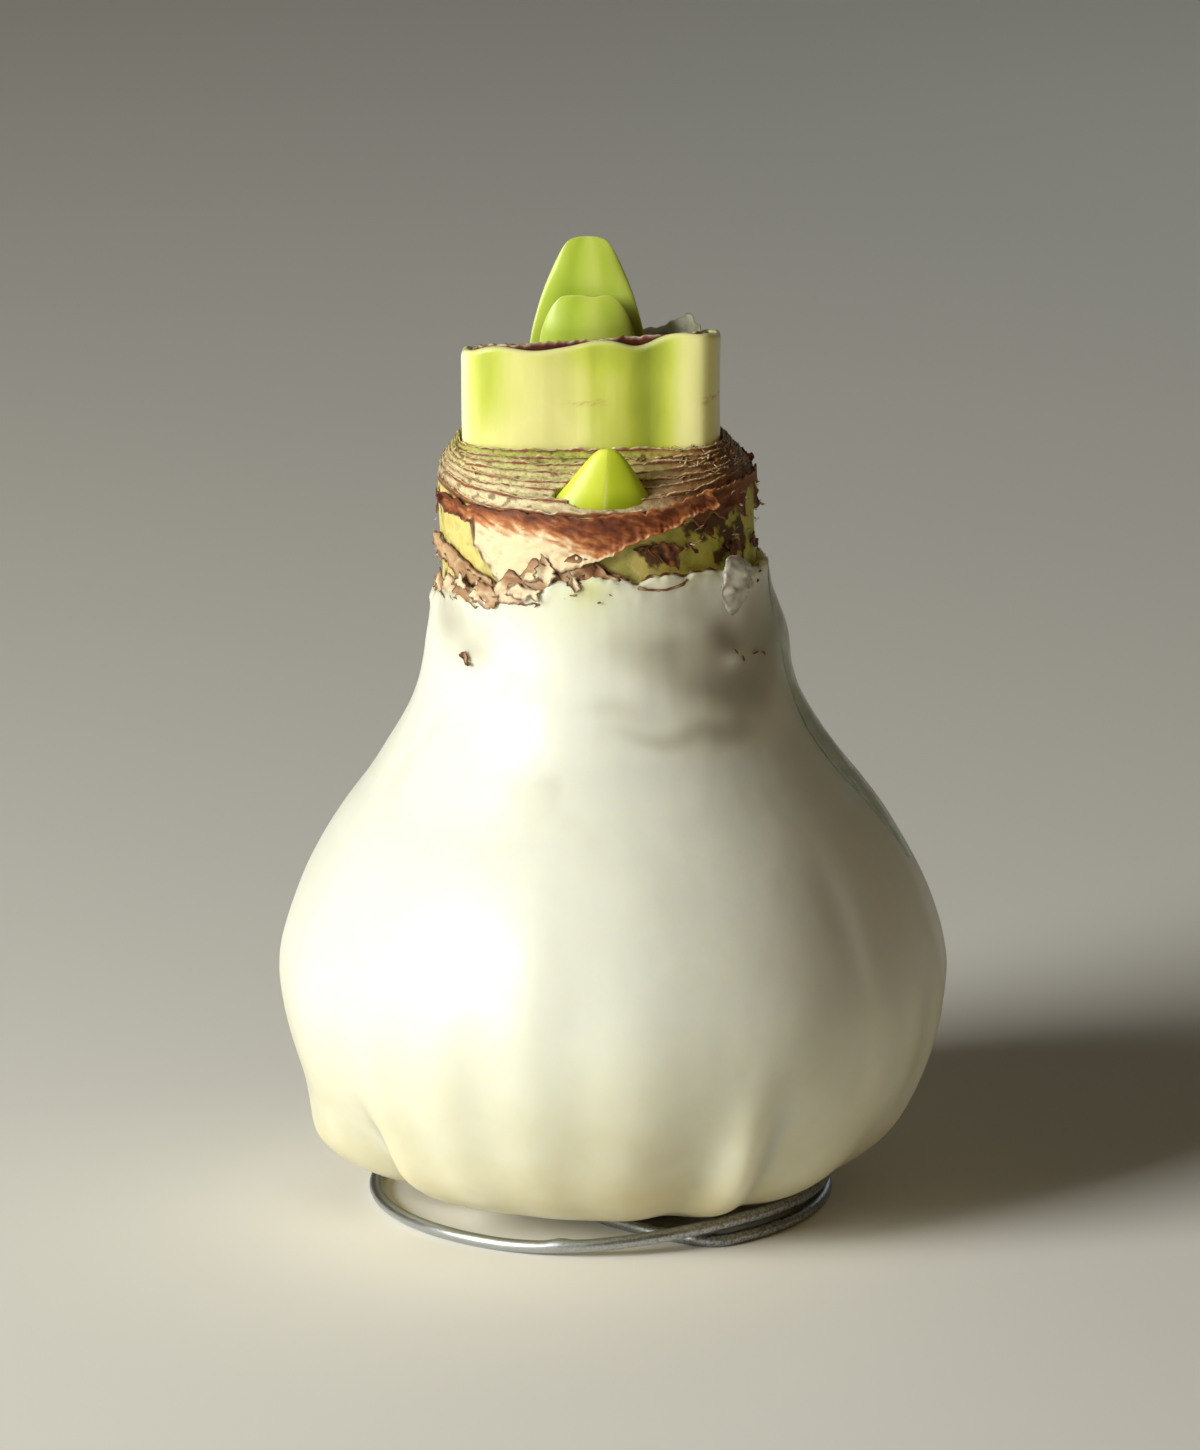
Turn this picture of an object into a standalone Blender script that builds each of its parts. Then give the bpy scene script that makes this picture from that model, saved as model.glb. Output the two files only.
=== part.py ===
"""A wax-dipped amaryllis bulb with its cut neck, its green shoots and its wire coil stand.

Metres, +Z up. The origin is on the table, under the middle of the bulb's belly.
The front is -Y: a small bud comes up there between the cut scales of the neck.
"""

import math
import random

import bpy
from mathutils import Vector, noise

MM = 0.001

# Stand: one galvanised wire, bent into a ring with a second turn and an upright spike.
WIRE_RADIUS = 1.0 * MM
WIRE_SIDES = 8
RING_CENTRE_X = -1.9 * MM
RING_RADIUS = 35.0 * MM
UPPER_TURN_RISE = 2.9 * MM
SPIKE_HEIGHT = 22.0 * MM

# Bulb body, as the outside of the wax: radius and height down the turned outline.
SEGMENTS = 60
RIM_LEVEL = 101.0 * MM
BODY_OUTLINE = [
    (25.8, 101.0), (25.9, 96.0), (26.95, 90.0), (29.5, 80.0), (35.4, 70.0), (42.6, 60.0),
    (48.0, 50.0), (51.1, 40.0), (51.4, 33.0), (49.7, 25.0), (46.3, 17.5), (41.8, 11.0),
    (35.6, 6.2), (28.0, 3.8), (18.0, 2.6), (9.0, 3.6), (0.0, 5.4),
]
BODY_ROWS = 22
BODY_MIDDLE = 50.0 * MM
BELLY_RADIUS = 51.4 * MM
WAX_THICKNESS = 1.3 * MM
WAX_CLEARANCE = 0.45 * MM
LEAN_START = 66.0 * MM
NECK_LEAN = -2.8 * MM

# Neck: round outside, cut across, with the ends of its scales in rings round a flat pocket.
NECK_TOP = 114.0 * MM
NECK_RADIUS = 24.05 * MM
SCALE_RINGS = 7
SCALE_RIDGE = 0.8 * MM
NECK_BACK_RISE = 2.2 * MM
RINGS_TOP = 120.4 * MM
POCKET_FLOOR = 106.0 * MM

# Green leaf base in the pocket: a flattened tube, cut on a slant.
SHEATH_X = -3.4 * MM
SHEATH_HALF_WIDTH = 19.8 * MM
SHEATH_HALF_DEPTH = 9.0 * MM
SHEATH_WALL = 2.4 * MM
SHEATH_TOP = 135.4 * MM
SHEATH_SLOPE_X = 0.07
SHEATH_SLOPE_Y = -0.2
INNER_WALL = 0.7 * MM
GAP = 0.3 * MM

SEED = 7


def smoothstep(low, high, value):
    """0 below low, 1 above high, and smooth between them."""
    t = min(max((value - low) / (high - low), 0.0), 1.0)
    return t * t * (3 - 2 * t)


def bump(value, centre, width):
    """A bell of height 1 at centre."""
    return math.exp(-(((value - centre) / width) ** 2))


def angle_bump(phi, degrees, width_degrees):
    """A bell of height 1 round the bulb, at that many degrees from +X."""
    away = (math.degrees(phi) - degrees + 180.0) % 360.0 - 180.0
    return bump(away, 0.0, width_degrees)


def spline(points, count):
    """count + 1 points, evenly spaced along a smooth curve through the given points."""
    points = [Vector(p) for p in points]
    padded = [points[0] * 2 - points[1], *points, points[-1] * 2 - points[-2]]
    fine = []
    steps = 24
    for a, b, c, d in zip(padded, padded[1:], padded[2:], padded[3:]):
        for i in range(steps):
            t = i / steps
            fine.append(
                0.5 * (2 * b + (c - a) * t + (2 * a - 5 * b + 4 * c - d) * t * t
                       + (3 * b - 3 * c + d - a) * t ** 3)
            )
    fine.append(points[-1])
    lengths = [0.0]
    for p, q in zip(fine, fine[1:]):
        lengths.append(lengths[-1] + (q - p).length)
    spaced = []
    k = 0
    for i in range(count + 1):
        wanted = lengths[-1] * i / count
        while k < len(fine) - 2 and lengths[k + 1] < wanted:
            k += 1
        share = (wanted - lengths[k]) / (lengths[k + 1] - lengths[k])
        spaced.append(fine[k].lerp(fine[k + 1], share))
    return spaced


def material(name, colour, roughness, metallic=0.0):
    """A Principled material of that colour."""
    made = bpy.data.materials.new(name)
    made.use_nodes = True
    shader = made.node_tree.nodes["Principled BSDF"]
    shader.inputs["Base Color"].default_value = (*colour, 1.0)
    shader.inputs["Roughness"].default_value = roughness
    shader.inputs["Metallic"].default_value = metallic
    return made


def finish(obj, collection, surface, smooth_degrees=40.0):
    """Files obj in the collection, with its material and smooth shading."""
    for other in list(obj.users_collection):
        other.objects.unlink(obj)
    collection.objects.link(obj)
    obj.data.materials.clear()
    obj.data.materials.append(surface)
    if obj.type == "MESH":
        obj.data.shade_smooth()
        obj.data.set_sharp_from_angle(angle=math.radians(smooth_degrees))
    return obj


def as_mesh(obj, name):
    """A new mesh object of obj as its modifiers leave it. obj is removed."""
    bpy.context.view_layer.update()
    graph = bpy.context.evaluated_depsgraph_get()
    mesh = bpy.data.meshes.new_from_object(obj.evaluated_get(graph))
    made = bpy.data.objects.new(name, mesh)
    made.matrix_world = obj.matrix_world.copy()
    bpy.context.scene.collection.objects.link(made)
    bpy.data.objects.remove(obj)
    return made


def turned(name, outline, segments, closed=False):
    """A mesh turned round Z from an outline of (radius, height) that runs down its outer side."""
    mesh = bpy.data.meshes.new(name + "_outline")
    edges = [(i, i + 1) for i in range(len(outline) - 1)]
    if closed:
        edges.append((len(outline) - 1, 0))
    mesh.from_pydata([(r, 0.0, z) for r, z in outline], edges, [])
    obj = bpy.data.objects.new(name + "_outline", mesh)
    bpy.context.scene.collection.objects.link(obj)
    screw = obj.modifiers.new("Turn", "SCREW")
    screw.steps = screw.render_steps = segments
    screw.use_merge_vertices = True
    screw.merge_threshold = 0.00001
    return as_mesh(obj, name)


def reshape(obj, place):
    """Moves each vertex to place(radius, angle, height)."""
    for vertex in obj.data.vertices:
        x, y, z = vertex.co
        vertex.co = place(math.hypot(x, y), math.atan2(y, x), z)
    obj.data.update()


def cut(obj, cutter, cutters):
    """Takes the cutter away from obj."""
    for other in list(cutter.users_collection):
        other.objects.unlink(cutter)
    cutters.objects.link(cutter)
    cutter.hide_render = True
    cutter.display_type = "WIRE"
    modifier = obj.modifiers.new("Cut_" + cutter.name, "BOOLEAN")
    modifier.operation = "DIFFERENCE"
    modifier.solver = "EXACT"
    modifier.object = cutter


def lean(z):
    """How far the bulb's axis is off X = 0 at that height: the neck leans a little to the left."""
    t = min(max((z - LEAN_START) / (NECK_TOP - LEAN_START), 0.0), 1.0)
    return NECK_LEAN * t ** 0.8


# Swellings and folds of the dipped bulb: angle, its width, height, its spread, and depth (all mm).
FOLDS = [
    (190, 14, 9, 8, 4.6),       # lobe low on the left
    (211, 6, 6, 12, -3.0),      # deep fold beside it
    (229, 12, 8, 8, 1.4),
    (285, 7, 8, 11, -2.0),
    (296, 6, 9, 10, 1.6),       # upright rib on the front right
    (306, 6, 10, 13, -1.8),
    (318, 8, 12, 9, 0.9),
    (333, 7, 10, 9, -1.3),
    (350, 8, 13, 7, 0.7),
    (12, 7, 9, 10, -1.6),
    (40, 10, 9, 9, 0.8),
    (62, 7, 6, 11, -2.4),
    (84, 10, 10, 8, 0.8),
    (112, 8, 8, 10, -1.8),
    (136, 10, 10, 9, 1.3),
    (160, 7, 7, 11, -2.2),
    (321, 8, 101, 5, 1.5),      # lump of wax below the rim
    (309, 9, 91, 4, 0.9),
    (2, 10, 91, 6, 0.8),        # run of wax down the right
    (270, 60, 84, 3.5, -0.35),  # shallow hollows round the shoulder
    (300, 40, 76, 3.5, -0.5),
]


def swelling(phi, z):
    """How far the surface stands out from the turned outline there."""
    out = 0.0
    for degrees, width, height, spread, depth in FOLDS:
        out += depth * MM * angle_bump(phi, degrees, width) * bump(z / MM, height, spread)
    soft_ribs = 0.3 * MM * math.sin(17 * phi + 2 * math.sin(3 * phi))
    return out + soft_ribs * bump(z / MM, 26, 24)


# Height of the wax's upper edge round the neck: degrees and millimetres.
RIM_HEIGHTS = [
    (0, 101.0), (60, 97.5), (120, 96.0), (180, 96.6), (225, 99.8), (262, 103.8),
    (286, 102.8), (318, 104.6), (340, 103.4), (360, 101.0),
]


def rim_height(phi):
    """Height of the wax's ragged upper edge at that angle."""
    degrees = math.degrees(phi) % 360.0
    for (a, low), (b, high) in zip(RIM_HEIGHTS, RIM_HEIGHTS[1:]):
        if a <= degrees <= b:
            break
    base = low + (high - low) * smoothstep(a, b, degrees)
    ragged = 0.45 * math.sin(11 * phi + 1.0) + 0.3 * math.sin(23 * phi)
    return (base + ragged) * MM


def body_outline():
    """The turned outline of the wax's outside, from the rim down to the axis."""
    return [(max(p.x, 0.0), p.y) for p in
            spline([(r * MM, z * MM) for r, z in BODY_OUTLINE], BODY_ROWS)]


def body_point(radius, phi, z):
    """A point of the dipped bulb's surface, with its folds and its lean."""
    inner = smoothstep(6 * MM, 34 * MM, radius)
    radius += swelling(phi, z) * inner
    return Vector((lean(z) + radius * math.cos(phi), radius * math.sin(phi), z))


def wax_coat(collection, surface):
    """The coat of wax: an open-topped skin that follows the bulb, with a hole for the spike."""
    outer = body_outline()
    inner = inset(outer, WAX_THICKNESS)
    outline = to_bore(outer) + list(reversed(to_bore(inner)))
    coat = turned("wax_coat", outline, SEGMENTS, closed=True)

    def place(radius, phi, z):
        stretch = smoothstep(84 * MM, RIM_LEVEL, z)
        level = z + stretch * (rim_height(phi) - RIM_LEVEL)
        radius += shoulder_radius(level, outer) - shoulder_radius(z, outer)
        return body_point(radius, phi, level)

    reshape(coat, place)
    return finish(coat, collection, surface)


def shoulder_radius(z, outline):
    """Radius of the outline at that height, above the belly."""
    for (upper, high), (lower, low) in zip(outline, outline[1:]):
        if low <= z <= high:
            return lower + (upper - lower) * (z - low) / (high - low)
        if low < BODY_MIDDLE:
            break
    return outline[0][0] if z >= outline[0][1] else BELLY_RADIUS


def to_bore(outline):
    """The outline with its last point moved from the axis to the wall of the spike's hole."""
    return [*outline[:-1], (WIRE_RADIUS + GAP, outline[-1][1])]


def inset(outline, distance):
    """The outline moved inwards by that distance."""
    moved = []
    for i, (r, z) in enumerate(outline):
        before = Vector(outline[max(i - 1, 0)])
        after = Vector(outline[min(i + 1, len(outline) - 1)])
        along = (after - before).normalized()
        moved.append((max(r + along.y * distance, 0.0), z - along.x * distance))
    moved[-1] = (0.0, moved[-1][1])
    return moved


def cut_rim(phi):
    """Height of the neck's outer cut edge: lowest at the front."""
    return NECK_TOP + NECK_BACK_RISE * (0.5 + 0.5 * math.sin(phi))


def scale_height(share, phi=0.0):
    """Height of the neck's cut face, from 0 at the pocket to 1 at the rim, with its ridges."""
    rounded = 0.9 * MM * smoothstep(0.8, 1.0, share)
    rim = cut_rim(phi)
    slope = rim + (RINGS_TOP - rim) * (1.0 - share) ** 0.9 - rounded
    wave = 0.5 - 0.5 * math.cos(2 * math.pi * SCALE_RINGS * share)
    uneven = 0.75 + 0.5 * noise.noise(Vector((math.cos(phi), math.sin(phi), 6 * share)))
    steepness = 0.4 + 0.6 * abs(math.sin(phi))
    return slope - SCALE_RIDGE * wave * uneven * steepness


def bulb(collection, cutters, surface):
    """The bulb: fleshy body, neck and the ridged cut face of its scales, with the pocket."""
    pocket = SHEATH_HALF_WIDTH + GAP
    rows = 2 * SCALE_RINGS
    outline = [(0.0, POCKET_FLOOR), (pocket * 0.6, POCKET_FLOOR), (pocket, POCKET_FLOOR)]
    for i in range(rows + 1):
        share = i / rows
        outline.append((pocket + (NECK_RADIUS - pocket) * share, scale_height(share)))
    under_wax = inset(body_outline(), WAX_THICKNESS + WAX_CLEARANCE)
    outline += [(NECK_RADIUS, NECK_TOP - 2 * MM), (NECK_RADIUS, NECK_TOP - 6 * MM)]
    outline += to_bore([(r, z) for r, z in under_wax if z < NECK_TOP - 8 * MM])
    outline += [(WIRE_RADIUS + GAP, SPIKE_HEIGHT + MM), (0.0, SPIKE_HEIGHT + MM)]
    body = turned("bulb", outline, SEGMENTS)

    def place(radius, phi, z):
        on_top = z > POCKET_FLOOR - 0.1 * MM and radius < NECK_RADIUS - 0.001 * MM
        if not on_top:
            lift = (cut_rim(phi) - NECK_TOP) * smoothstep(NECK_TOP - 7 * MM, NECK_TOP - 2 * MM, z)
            return body_point(radius, phi, z + lift)
        x, y = oval(SHEATH_HALF_WIDTH, SHEATH_HALF_DEPTH, phi, -GAP)
        inner = Vector((SHEATH_X + x, y)) if radius > 0.99 * pocket else None
        if inner is None:
            return Vector((SHEATH_X + x * radius / pocket, y * radius / pocket, z))
        share = max((radius - pocket) / (NECK_RADIUS - pocket), 0.0)
        outer = Vector((lean(z) + NECK_RADIUS * math.cos(phi), NECK_RADIUS * math.sin(phi)))
        across = inner.lerp(outer, share)
        height = scale_height(share, phi) if z > POCKET_FLOOR + MM else z
        return Vector((across.x, across.y, height))

    reshape(body, place)
    cut(body, bud_socket(), cutters)
    return finish(body, collection, surface)


BUD_X = -1.6 * MM
BUD_Y = -19.6 * MM
BUD_HALF_WIDTH = 7.3 * MM
BUD_DEPTH_SHARE = 0.36
BUD_TOP = 123.0 * MM
BUD_FOOT = 108.5 * MM


def bud_socket():
    """A cutter for the slot between two scales that the small bud comes out of."""
    bpy.ops.mesh.primitive_cylinder_add(
        vertices=24, radius=BUD_HALF_WIDTH + GAP, depth=20 * MM,
        location=(BUD_X, BUD_Y, BUD_FOOT - GAP + 10 * MM),
    )
    cutter = bpy.context.object
    cutter.name = "bud_socket"
    half_width = BUD_HALF_WIDTH + GAP
    depth = (BUD_HALF_WIDTH * BUD_DEPTH_SHARE + GAP) / half_width
    for vertex in cutter.data.vertices:
        vertex.co.y *= depth
    return cutter


def front_bud(collection, surface):
    """The small bud: two green valves that meet in a seam down the front."""
    height = BUD_TOP - BUD_FOOT
    widths = [(0.0, 1.0), (0.9, 0.985), (2.2, 0.9), (4.8, 0.68), (6.2, 0.53), (7.2, 0.38),
              (7.3, 0.12), (7.3, 0.0)]
    outline = [(w * MM, BUD_FOOT + height * share) for w, share in widths]
    outline.append((0.0, BUD_FOOT))
    bud = turned("front_bud", outline, 24)

    def place(radius, phi, z):
        rise = smoothstep(BUD_FOOT, BUD_TOP, z)
        seam = 0.35 * MM * angle_bump(phi, -88, 12) * smoothstep(0, 3 * MM, radius)
        x = (radius - seam) * math.cos(phi)
        y = (radius - seam) * math.sin(phi) * BUD_DEPTH_SHARE
        return Vector((BUD_X + x + 0.7 * MM * rise, BUD_Y + y, z))

    reshape(bud, place)
    return finish(bud, collection, surface)


def flutes(phi):
    """The sheath's upright hollows and swellings, as a share of its width."""
    out = -0.1 * angle_bump(phi, -64, 12) - 0.05 * angle_bump(phi, -140, 9)
    out += 0.05 * angle_bump(phi, -38, 14) - 0.03 * angle_bump(phi, -98, 8)
    out += 0.04 * angle_bump(phi, -160, 12) - 0.07 * angle_bump(phi, 70, 14)
    return out - 0.05 * angle_bump(phi, 125, 12)


def oval(half_width, half_depth, phi, wall):
    """A point of the sheath's flattened section, that far inside its outside."""
    squareness = 1.0 + 0.1 * math.sin(2 * phi) ** 2
    grown = squareness * (1.0 + flutes(phi) * abs(math.sin(phi)))
    x = (half_width - wall) * math.cos(phi) * squareness
    y = (half_depth * grown - wall) * math.sin(phi)
    return x, y


def sheath_top(x, y):
    """Height of the slanting cut across the sheath."""
    return SHEATH_TOP + SHEATH_SLOPE_X * (x - SHEATH_X) + SHEATH_SLOPE_Y * y


def neck_sheath(collection, surface):
    """The green leaf base: a fluted, flattened tube, cut across on a slant."""
    foot = POCKET_FLOOR + GAP
    rounded = 0.8 * MM
    wall_outline = [
        (SHEATH_WALL * 0.55, 1.0), (0.0, 0.97), (0.0, 0.62), (0.0, 0.3), (0.0, 0.0),
        (SHEATH_WALL, 0.0), (SHEATH_WALL, 0.5), (SHEATH_WALL, 0.985),
    ]
    span = 20.0 * MM
    outline = [(span - inward, share * span) for inward, share in wall_outline]
    sheath = turned("neck_sheath", outline, 48, closed=True)

    def place(radius, phi, z):
        wall = span - radius
        share = z / span
        narrow = 1.0 - 0.006 * math.sin(math.pi * share)
        x, y = oval(SHEATH_HALF_WIDTH * narrow, SHEATH_HALF_DEPTH, phi, wall)
        x += SHEATH_X
        top = sheath_top(x, y) + 0.25 * MM * math.sin(5 * phi) - rounded * (1 - share)
        return Vector((x, y, foot + (top - foot) * share))

    reshape(sheath, place)
    return finish(sheath, collection, surface)


def inner_scale(collection, surface):
    """The dry brown scale inside the sheath, with a torn flap standing up at the back right."""
    foot = POCKET_FLOOR + GAP
    depth_in = SHEATH_WALL + GAP
    span = 20.0 * MM
    wall_outline = [(0.0, 1.0), (0.0, 0.5), (0.0, 0.0), (INNER_WALL, 0.0), (INNER_WALL, 0.5),
                    (INNER_WALL, 1.0)]
    outline = [(span - inward, share * span) for inward, share in wall_outline]
    scale = turned("inner_scale", outline, 48, closed=True)

    def place(radius, phi, z):
        wall = depth_in + span - radius
        share = z / span
        x, y = oval(SHEATH_HALF_WIDTH, SHEATH_HALF_DEPTH, phi, wall)
        x += SHEATH_X
        torn = 3.2 * MM * angle_bump(phi, 40, 13) + 0.3 * MM * math.sin(9 * phi)
        top = sheath_top(x, y) - 0.5 * MM + torn
        return Vector((x, y, foot + (top - foot) * share))

    reshape(scale, place)
    return finish(scale, collection, surface)


def leaf_tip(name, widths, top, x, y, thickness, bend, collection, surface):
    """A blunt young leaf: a turned outline pressed flat and bent to a shallow trough."""
    foot = POCKET_FLOOR + GAP
    outline = [(0.0, top)]
    outline += [(w * MM, top - down * MM) for w, down in widths]
    root = widths[-1][0] * MM
    outline += [(root, (top + 2 * foot) / 3), (root, foot), (0.0, foot)]
    leaf = turned(name, outline, 24)
    flatness = thickness / (2 * root)

    def place(radius, phi, z):
        across = radius * math.cos(phi)
        through = radius * math.sin(phi) * flatness
        through += bend * across * across
        return Vector((x + across, y + through, z))

    reshape(leaf, place)
    return finish(leaf, collection, surface)


def neck_radius(z):
    """Radius of the bare neck at that height."""
    return NECK_RADIUS + 0.1 * MM * smoothstep(NECK_TOP, RIM_LEVEL - 6 * MM, z)


def tunic(name, start, end, low, high, seed, collection, surface, curl=0.0):
    """A piece of dry papery skin on the neck, between two angles in degrees.

    low and high give its edges at a share of the way round, in millimetres above the wax
    and below the top of the neck. curl lifts its upper corner off the neck.
    """
    columns = max(8, int((end - start) / 6))
    bpy.ops.mesh.primitive_grid_add(x_subdivisions=columns, y_subdivisions=4, size=2.0)
    sheet = bpy.context.object
    sheet.name = name
    draw = random.Random(seed)
    ragged = [(draw.uniform(-0.5, 0.9), draw.uniform(-0.9, 0.4)) for _ in range(columns + 1)]
    for vertex in sheet.data.vertices:
        across = (vertex.co.x + 1) / 2
        up = (vertex.co.y + 1) / 2
        phi = math.radians(start + (end - start) * across)
        tear_low, tear_high = ragged[round(across * columns)]
        bottom = rim_height(phi) + (low(across) + max(tear_low, 0.0)) * MM
        top = cut_rim(phi) - (high(across) - min(tear_high, 0.0)) * MM
        z = bottom + (top - bottom) * up
        radius = neck_radius(z) + swelling(phi, z) + GAP + curl * MM * across * up ** 2
        vertex.co = (lean(z) + radius * math.cos(phi), radius * math.sin(phi), z)
    sheet.data.update()
    shell = sheet.modifiers.new("Thickness", "SOLIDIFY")
    shell.thickness = 0.65 * MM
    shell.offset = 1.0
    return finish(sheet, collection, surface)


def wire_path():
    """Centre line of the stand: spike, spoke, ring and the raised second turn."""
    level = WIRE_RADIUS * math.cos(math.pi / WIRE_SIDES)
    spoke = [
        (0.0, 0.0, SPIKE_HEIGHT), (0.0, 0.0, 12 * MM), (0.0, 0.0, 7.5 * MM),
        (0.0, 0.0, 4.8 * MM), (-0.5 * MM, -0.9 * MM, 2.4 * MM),
        (-1.5 * MM, -2.8 * MM, level + 0.2 * MM), (-2.7 * MM, -5.6 * MM, level),
        (-3.5 * MM, -10.0 * MM, level), (-2.2 * MM, -17.0 * MM, level),
        (2.2 * MM, -21.6 * MM, level), (8.2 * MM, -26.6 * MM, level),
    ]
    points = [Vector(p) for p in spoke]
    start, turns = math.radians(-60), math.radians(446)
    count = 38
    for i in range(count + 1):
        phi = start + turns * i / count
        degrees = math.degrees(phi)
        rise = UPPER_TURN_RISE * smoothstep(242, 312, degrees)
        inward = 0.6 * MM * smoothstep(-45, -60, degrees)
        radius = RING_RADIUS - inward
        x = RING_CENTRE_X + radius * math.cos(phi)
        points.append(Vector((x, radius * math.sin(phi), level + rise)))
    return [Vector((p.x, p.y, max(p.z, level))) for p in spline(points, 88)]


def wire_stand(collection, surface):
    """The stand: one length of round wire with flat facets down, so that it lies on the table."""
    path = wire_path()
    curve = bpy.data.curves.new("wire_stand", "CURVE")
    curve.dimensions = "3D"
    curve.twist_mode = "Z_UP"
    curve.bevel_depth = WIRE_RADIUS
    curve.bevel_resolution = WIRE_SIDES // 2 - 2
    curve.use_fill_caps = True
    run = curve.splines.new("POLY")
    run.points.add(len(path) - 1)
    for point, place in zip(run.points, path):
        point.co = (*place, 1.0)
        point.tilt = math.pi / WIRE_SIDES
    wire = bpy.data.objects.new("wire_stand", curve)
    return finish(wire, collection, surface)


def clear_scene():
    """Removes what the file opens with."""
    for obj in list(bpy.data.objects):
        bpy.data.objects.remove(obj)


def new_collection(name):
    """An empty collection in the scene."""
    made = bpy.data.collections.new(name)
    bpy.context.scene.collection.children.link(made)
    return made


def build():
    """Makes every piece of the bulb."""
    clear_scene()
    parts = new_collection("amaryllis_bulb")
    cutters = new_collection("cutters")
    cutters.hide_render = True
    wax = material("white_wax", (0.87, 0.86, 0.76), 0.35)
    flesh = material("bulb_flesh", (0.62, 0.55, 0.36), 0.7)
    green = material("leaf_green", (0.55, 0.7, 0.16), 0.42)
    bright_green = material("bud_green", (0.6, 0.78, 0.07), 0.4)
    brown = material("dry_skin", (0.33, 0.16, 0.08), 0.8)
    straw = material("straw_skin", (0.62, 0.5, 0.34), 0.8)
    steel = material("galvanised_wire", (0.55, 0.56, 0.57), 0.35, 1.0)

    wire_stand(parts, steel)
    wax_coat(parts, wax)
    bulb(parts, cutters, flesh)
    neck_sheath(parts, green)
    inner_scale(parts, brown)
    tall = [(1.6, 0.15), (3.0, 0.75), (4.1, 2.3), (5.6, 5.4), (6.9, 8.7), (7.9, 12.0),
            (8.6, 15.0), (8.9, 18.0)]
    leaf_tip("leaf_tip_tall", tall, 151.1 * MM, -3.9 * MM, 2.0 * MM, 3.0 * MM, -18.0,
             parts, green)
    short = [(3.0, 0.1), (4.3, 0.6), (5.6, 2.2), (6.6, 4.4), (7.2, 6.6), (7.3, 9.0)]
    leaf_tip("leaf_tip_short", short, 142.8 * MM, -3.9 * MM, -2.0 * MM, 2.6 * MM, 16.0,
             parts, green)
    front_bud(parts, bright_green)
    tunic("tunic_front", 222, 316, lambda t: 0.4 + 6.0 * t ** 1.6, lambda t: 0.8, SEED,
          parts, brown)
    tunic("tunic_left", 163, 218, lambda t: 5.0 - 4.6 * t, lambda t: 2.5 + 6.0 * t, SEED + 1,
          parts, straw)
    tunic("tunic_right", 322, 366, lambda t: 0.5 + 1.5 * t, lambda t: 1.4, SEED + 2,
          parts, brown, curl=0.5)
    tunic("tunic_back", 18, 156, lambda t: 0.6 + 2.0 * math.sin(math.pi * t), lambda t: 1.2,
          SEED + 3, parts, straw)


build()
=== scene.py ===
"""The looks of a wax-dipped amaryllis bulb on its wire coil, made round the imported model.

Lengths in the classes are in millimetres and angles in degrees round the bulb's upright
axis, counted from +X, so 270 faces the camera. Meshes are written in metres.
"""

import logging
import math
from dataclasses import dataclass, field
from enum import Enum
from typing import Any, Callable

import bmesh
import bpy
import numpy as np
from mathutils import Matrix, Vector, noise


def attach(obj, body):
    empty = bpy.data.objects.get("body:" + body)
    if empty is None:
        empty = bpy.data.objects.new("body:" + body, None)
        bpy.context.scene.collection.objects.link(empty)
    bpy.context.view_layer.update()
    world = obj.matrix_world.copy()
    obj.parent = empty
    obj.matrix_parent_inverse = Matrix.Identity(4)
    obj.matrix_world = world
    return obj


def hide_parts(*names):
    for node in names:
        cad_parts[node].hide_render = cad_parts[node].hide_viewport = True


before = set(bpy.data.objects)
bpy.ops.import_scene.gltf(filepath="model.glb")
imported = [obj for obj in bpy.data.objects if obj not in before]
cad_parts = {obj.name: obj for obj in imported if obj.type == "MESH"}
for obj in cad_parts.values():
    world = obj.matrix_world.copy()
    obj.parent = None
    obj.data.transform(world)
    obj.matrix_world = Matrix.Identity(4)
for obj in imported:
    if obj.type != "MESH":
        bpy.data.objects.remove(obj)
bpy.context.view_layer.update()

LOG = logging.getLogger("amaryllis")
MM = 0.001
ROOT_BODY = "root"
PHOTO_SIZE = (1200, 1450)
NECK_MM_PER_DEGREE = 0.42
RIM_MM_PER_DEGREE = 0.44

USUAL_SETTINGS = {"Mix": {"data_type": "RGBA"}}
USUAL_OUTPUT = {"Mix": 2, "TexCoord": "Object", "Attribute": "Fac"}

Array = np.ndarray
# Rows of (degrees, millimetres), joined by straight lines.
Edge = tuple[tuple[float, float], ...]
# Rows of (degrees, width, strength): upright ridges, or hollows where it is below 0.
Ridges = tuple[tuple[float, float, float], ...]
# Rows of (degrees, width, height, spread, strength): swellings, or dents where it is below 0.
Bells = tuple[tuple[float, float, float, float, float], ...]


def linear(code: str) -> tuple[float, float, float, float]:
    """Turns an sRGB hex colour to the linear RGBA that shaders use.

    Args:
        code: a colour such as "#F4F2E4".
    Returns:
        Red, green, blue and alpha 1.
    """
    values = [int(code[i:i + 2], 16) / 255 for i in (1, 3, 5)]
    curved = [v / 12.92 if v <= 0.04045 else ((v + 0.055) / 1.055) ** 2.4 for v in values]
    return (curved[0], curved[1], curved[2], 1.0)


def feed(tree: bpy.types.NodeTree, node: bpy.types.Node, inputs: dict) -> None:
    """Links or sets a node's inputs.

    Args:
        tree: the material's node tree.
        node: the node.
        inputs: input name or index to an output socket, a hex colour or a value.
    """
    for key, value in inputs.items():
        if isinstance(value, bpy.types.NodeSocket):
            tree.links.new(value, node.inputs[key])
        else:
            node.inputs[key].default_value = linear(value) if isinstance(value, str) else value


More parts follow.
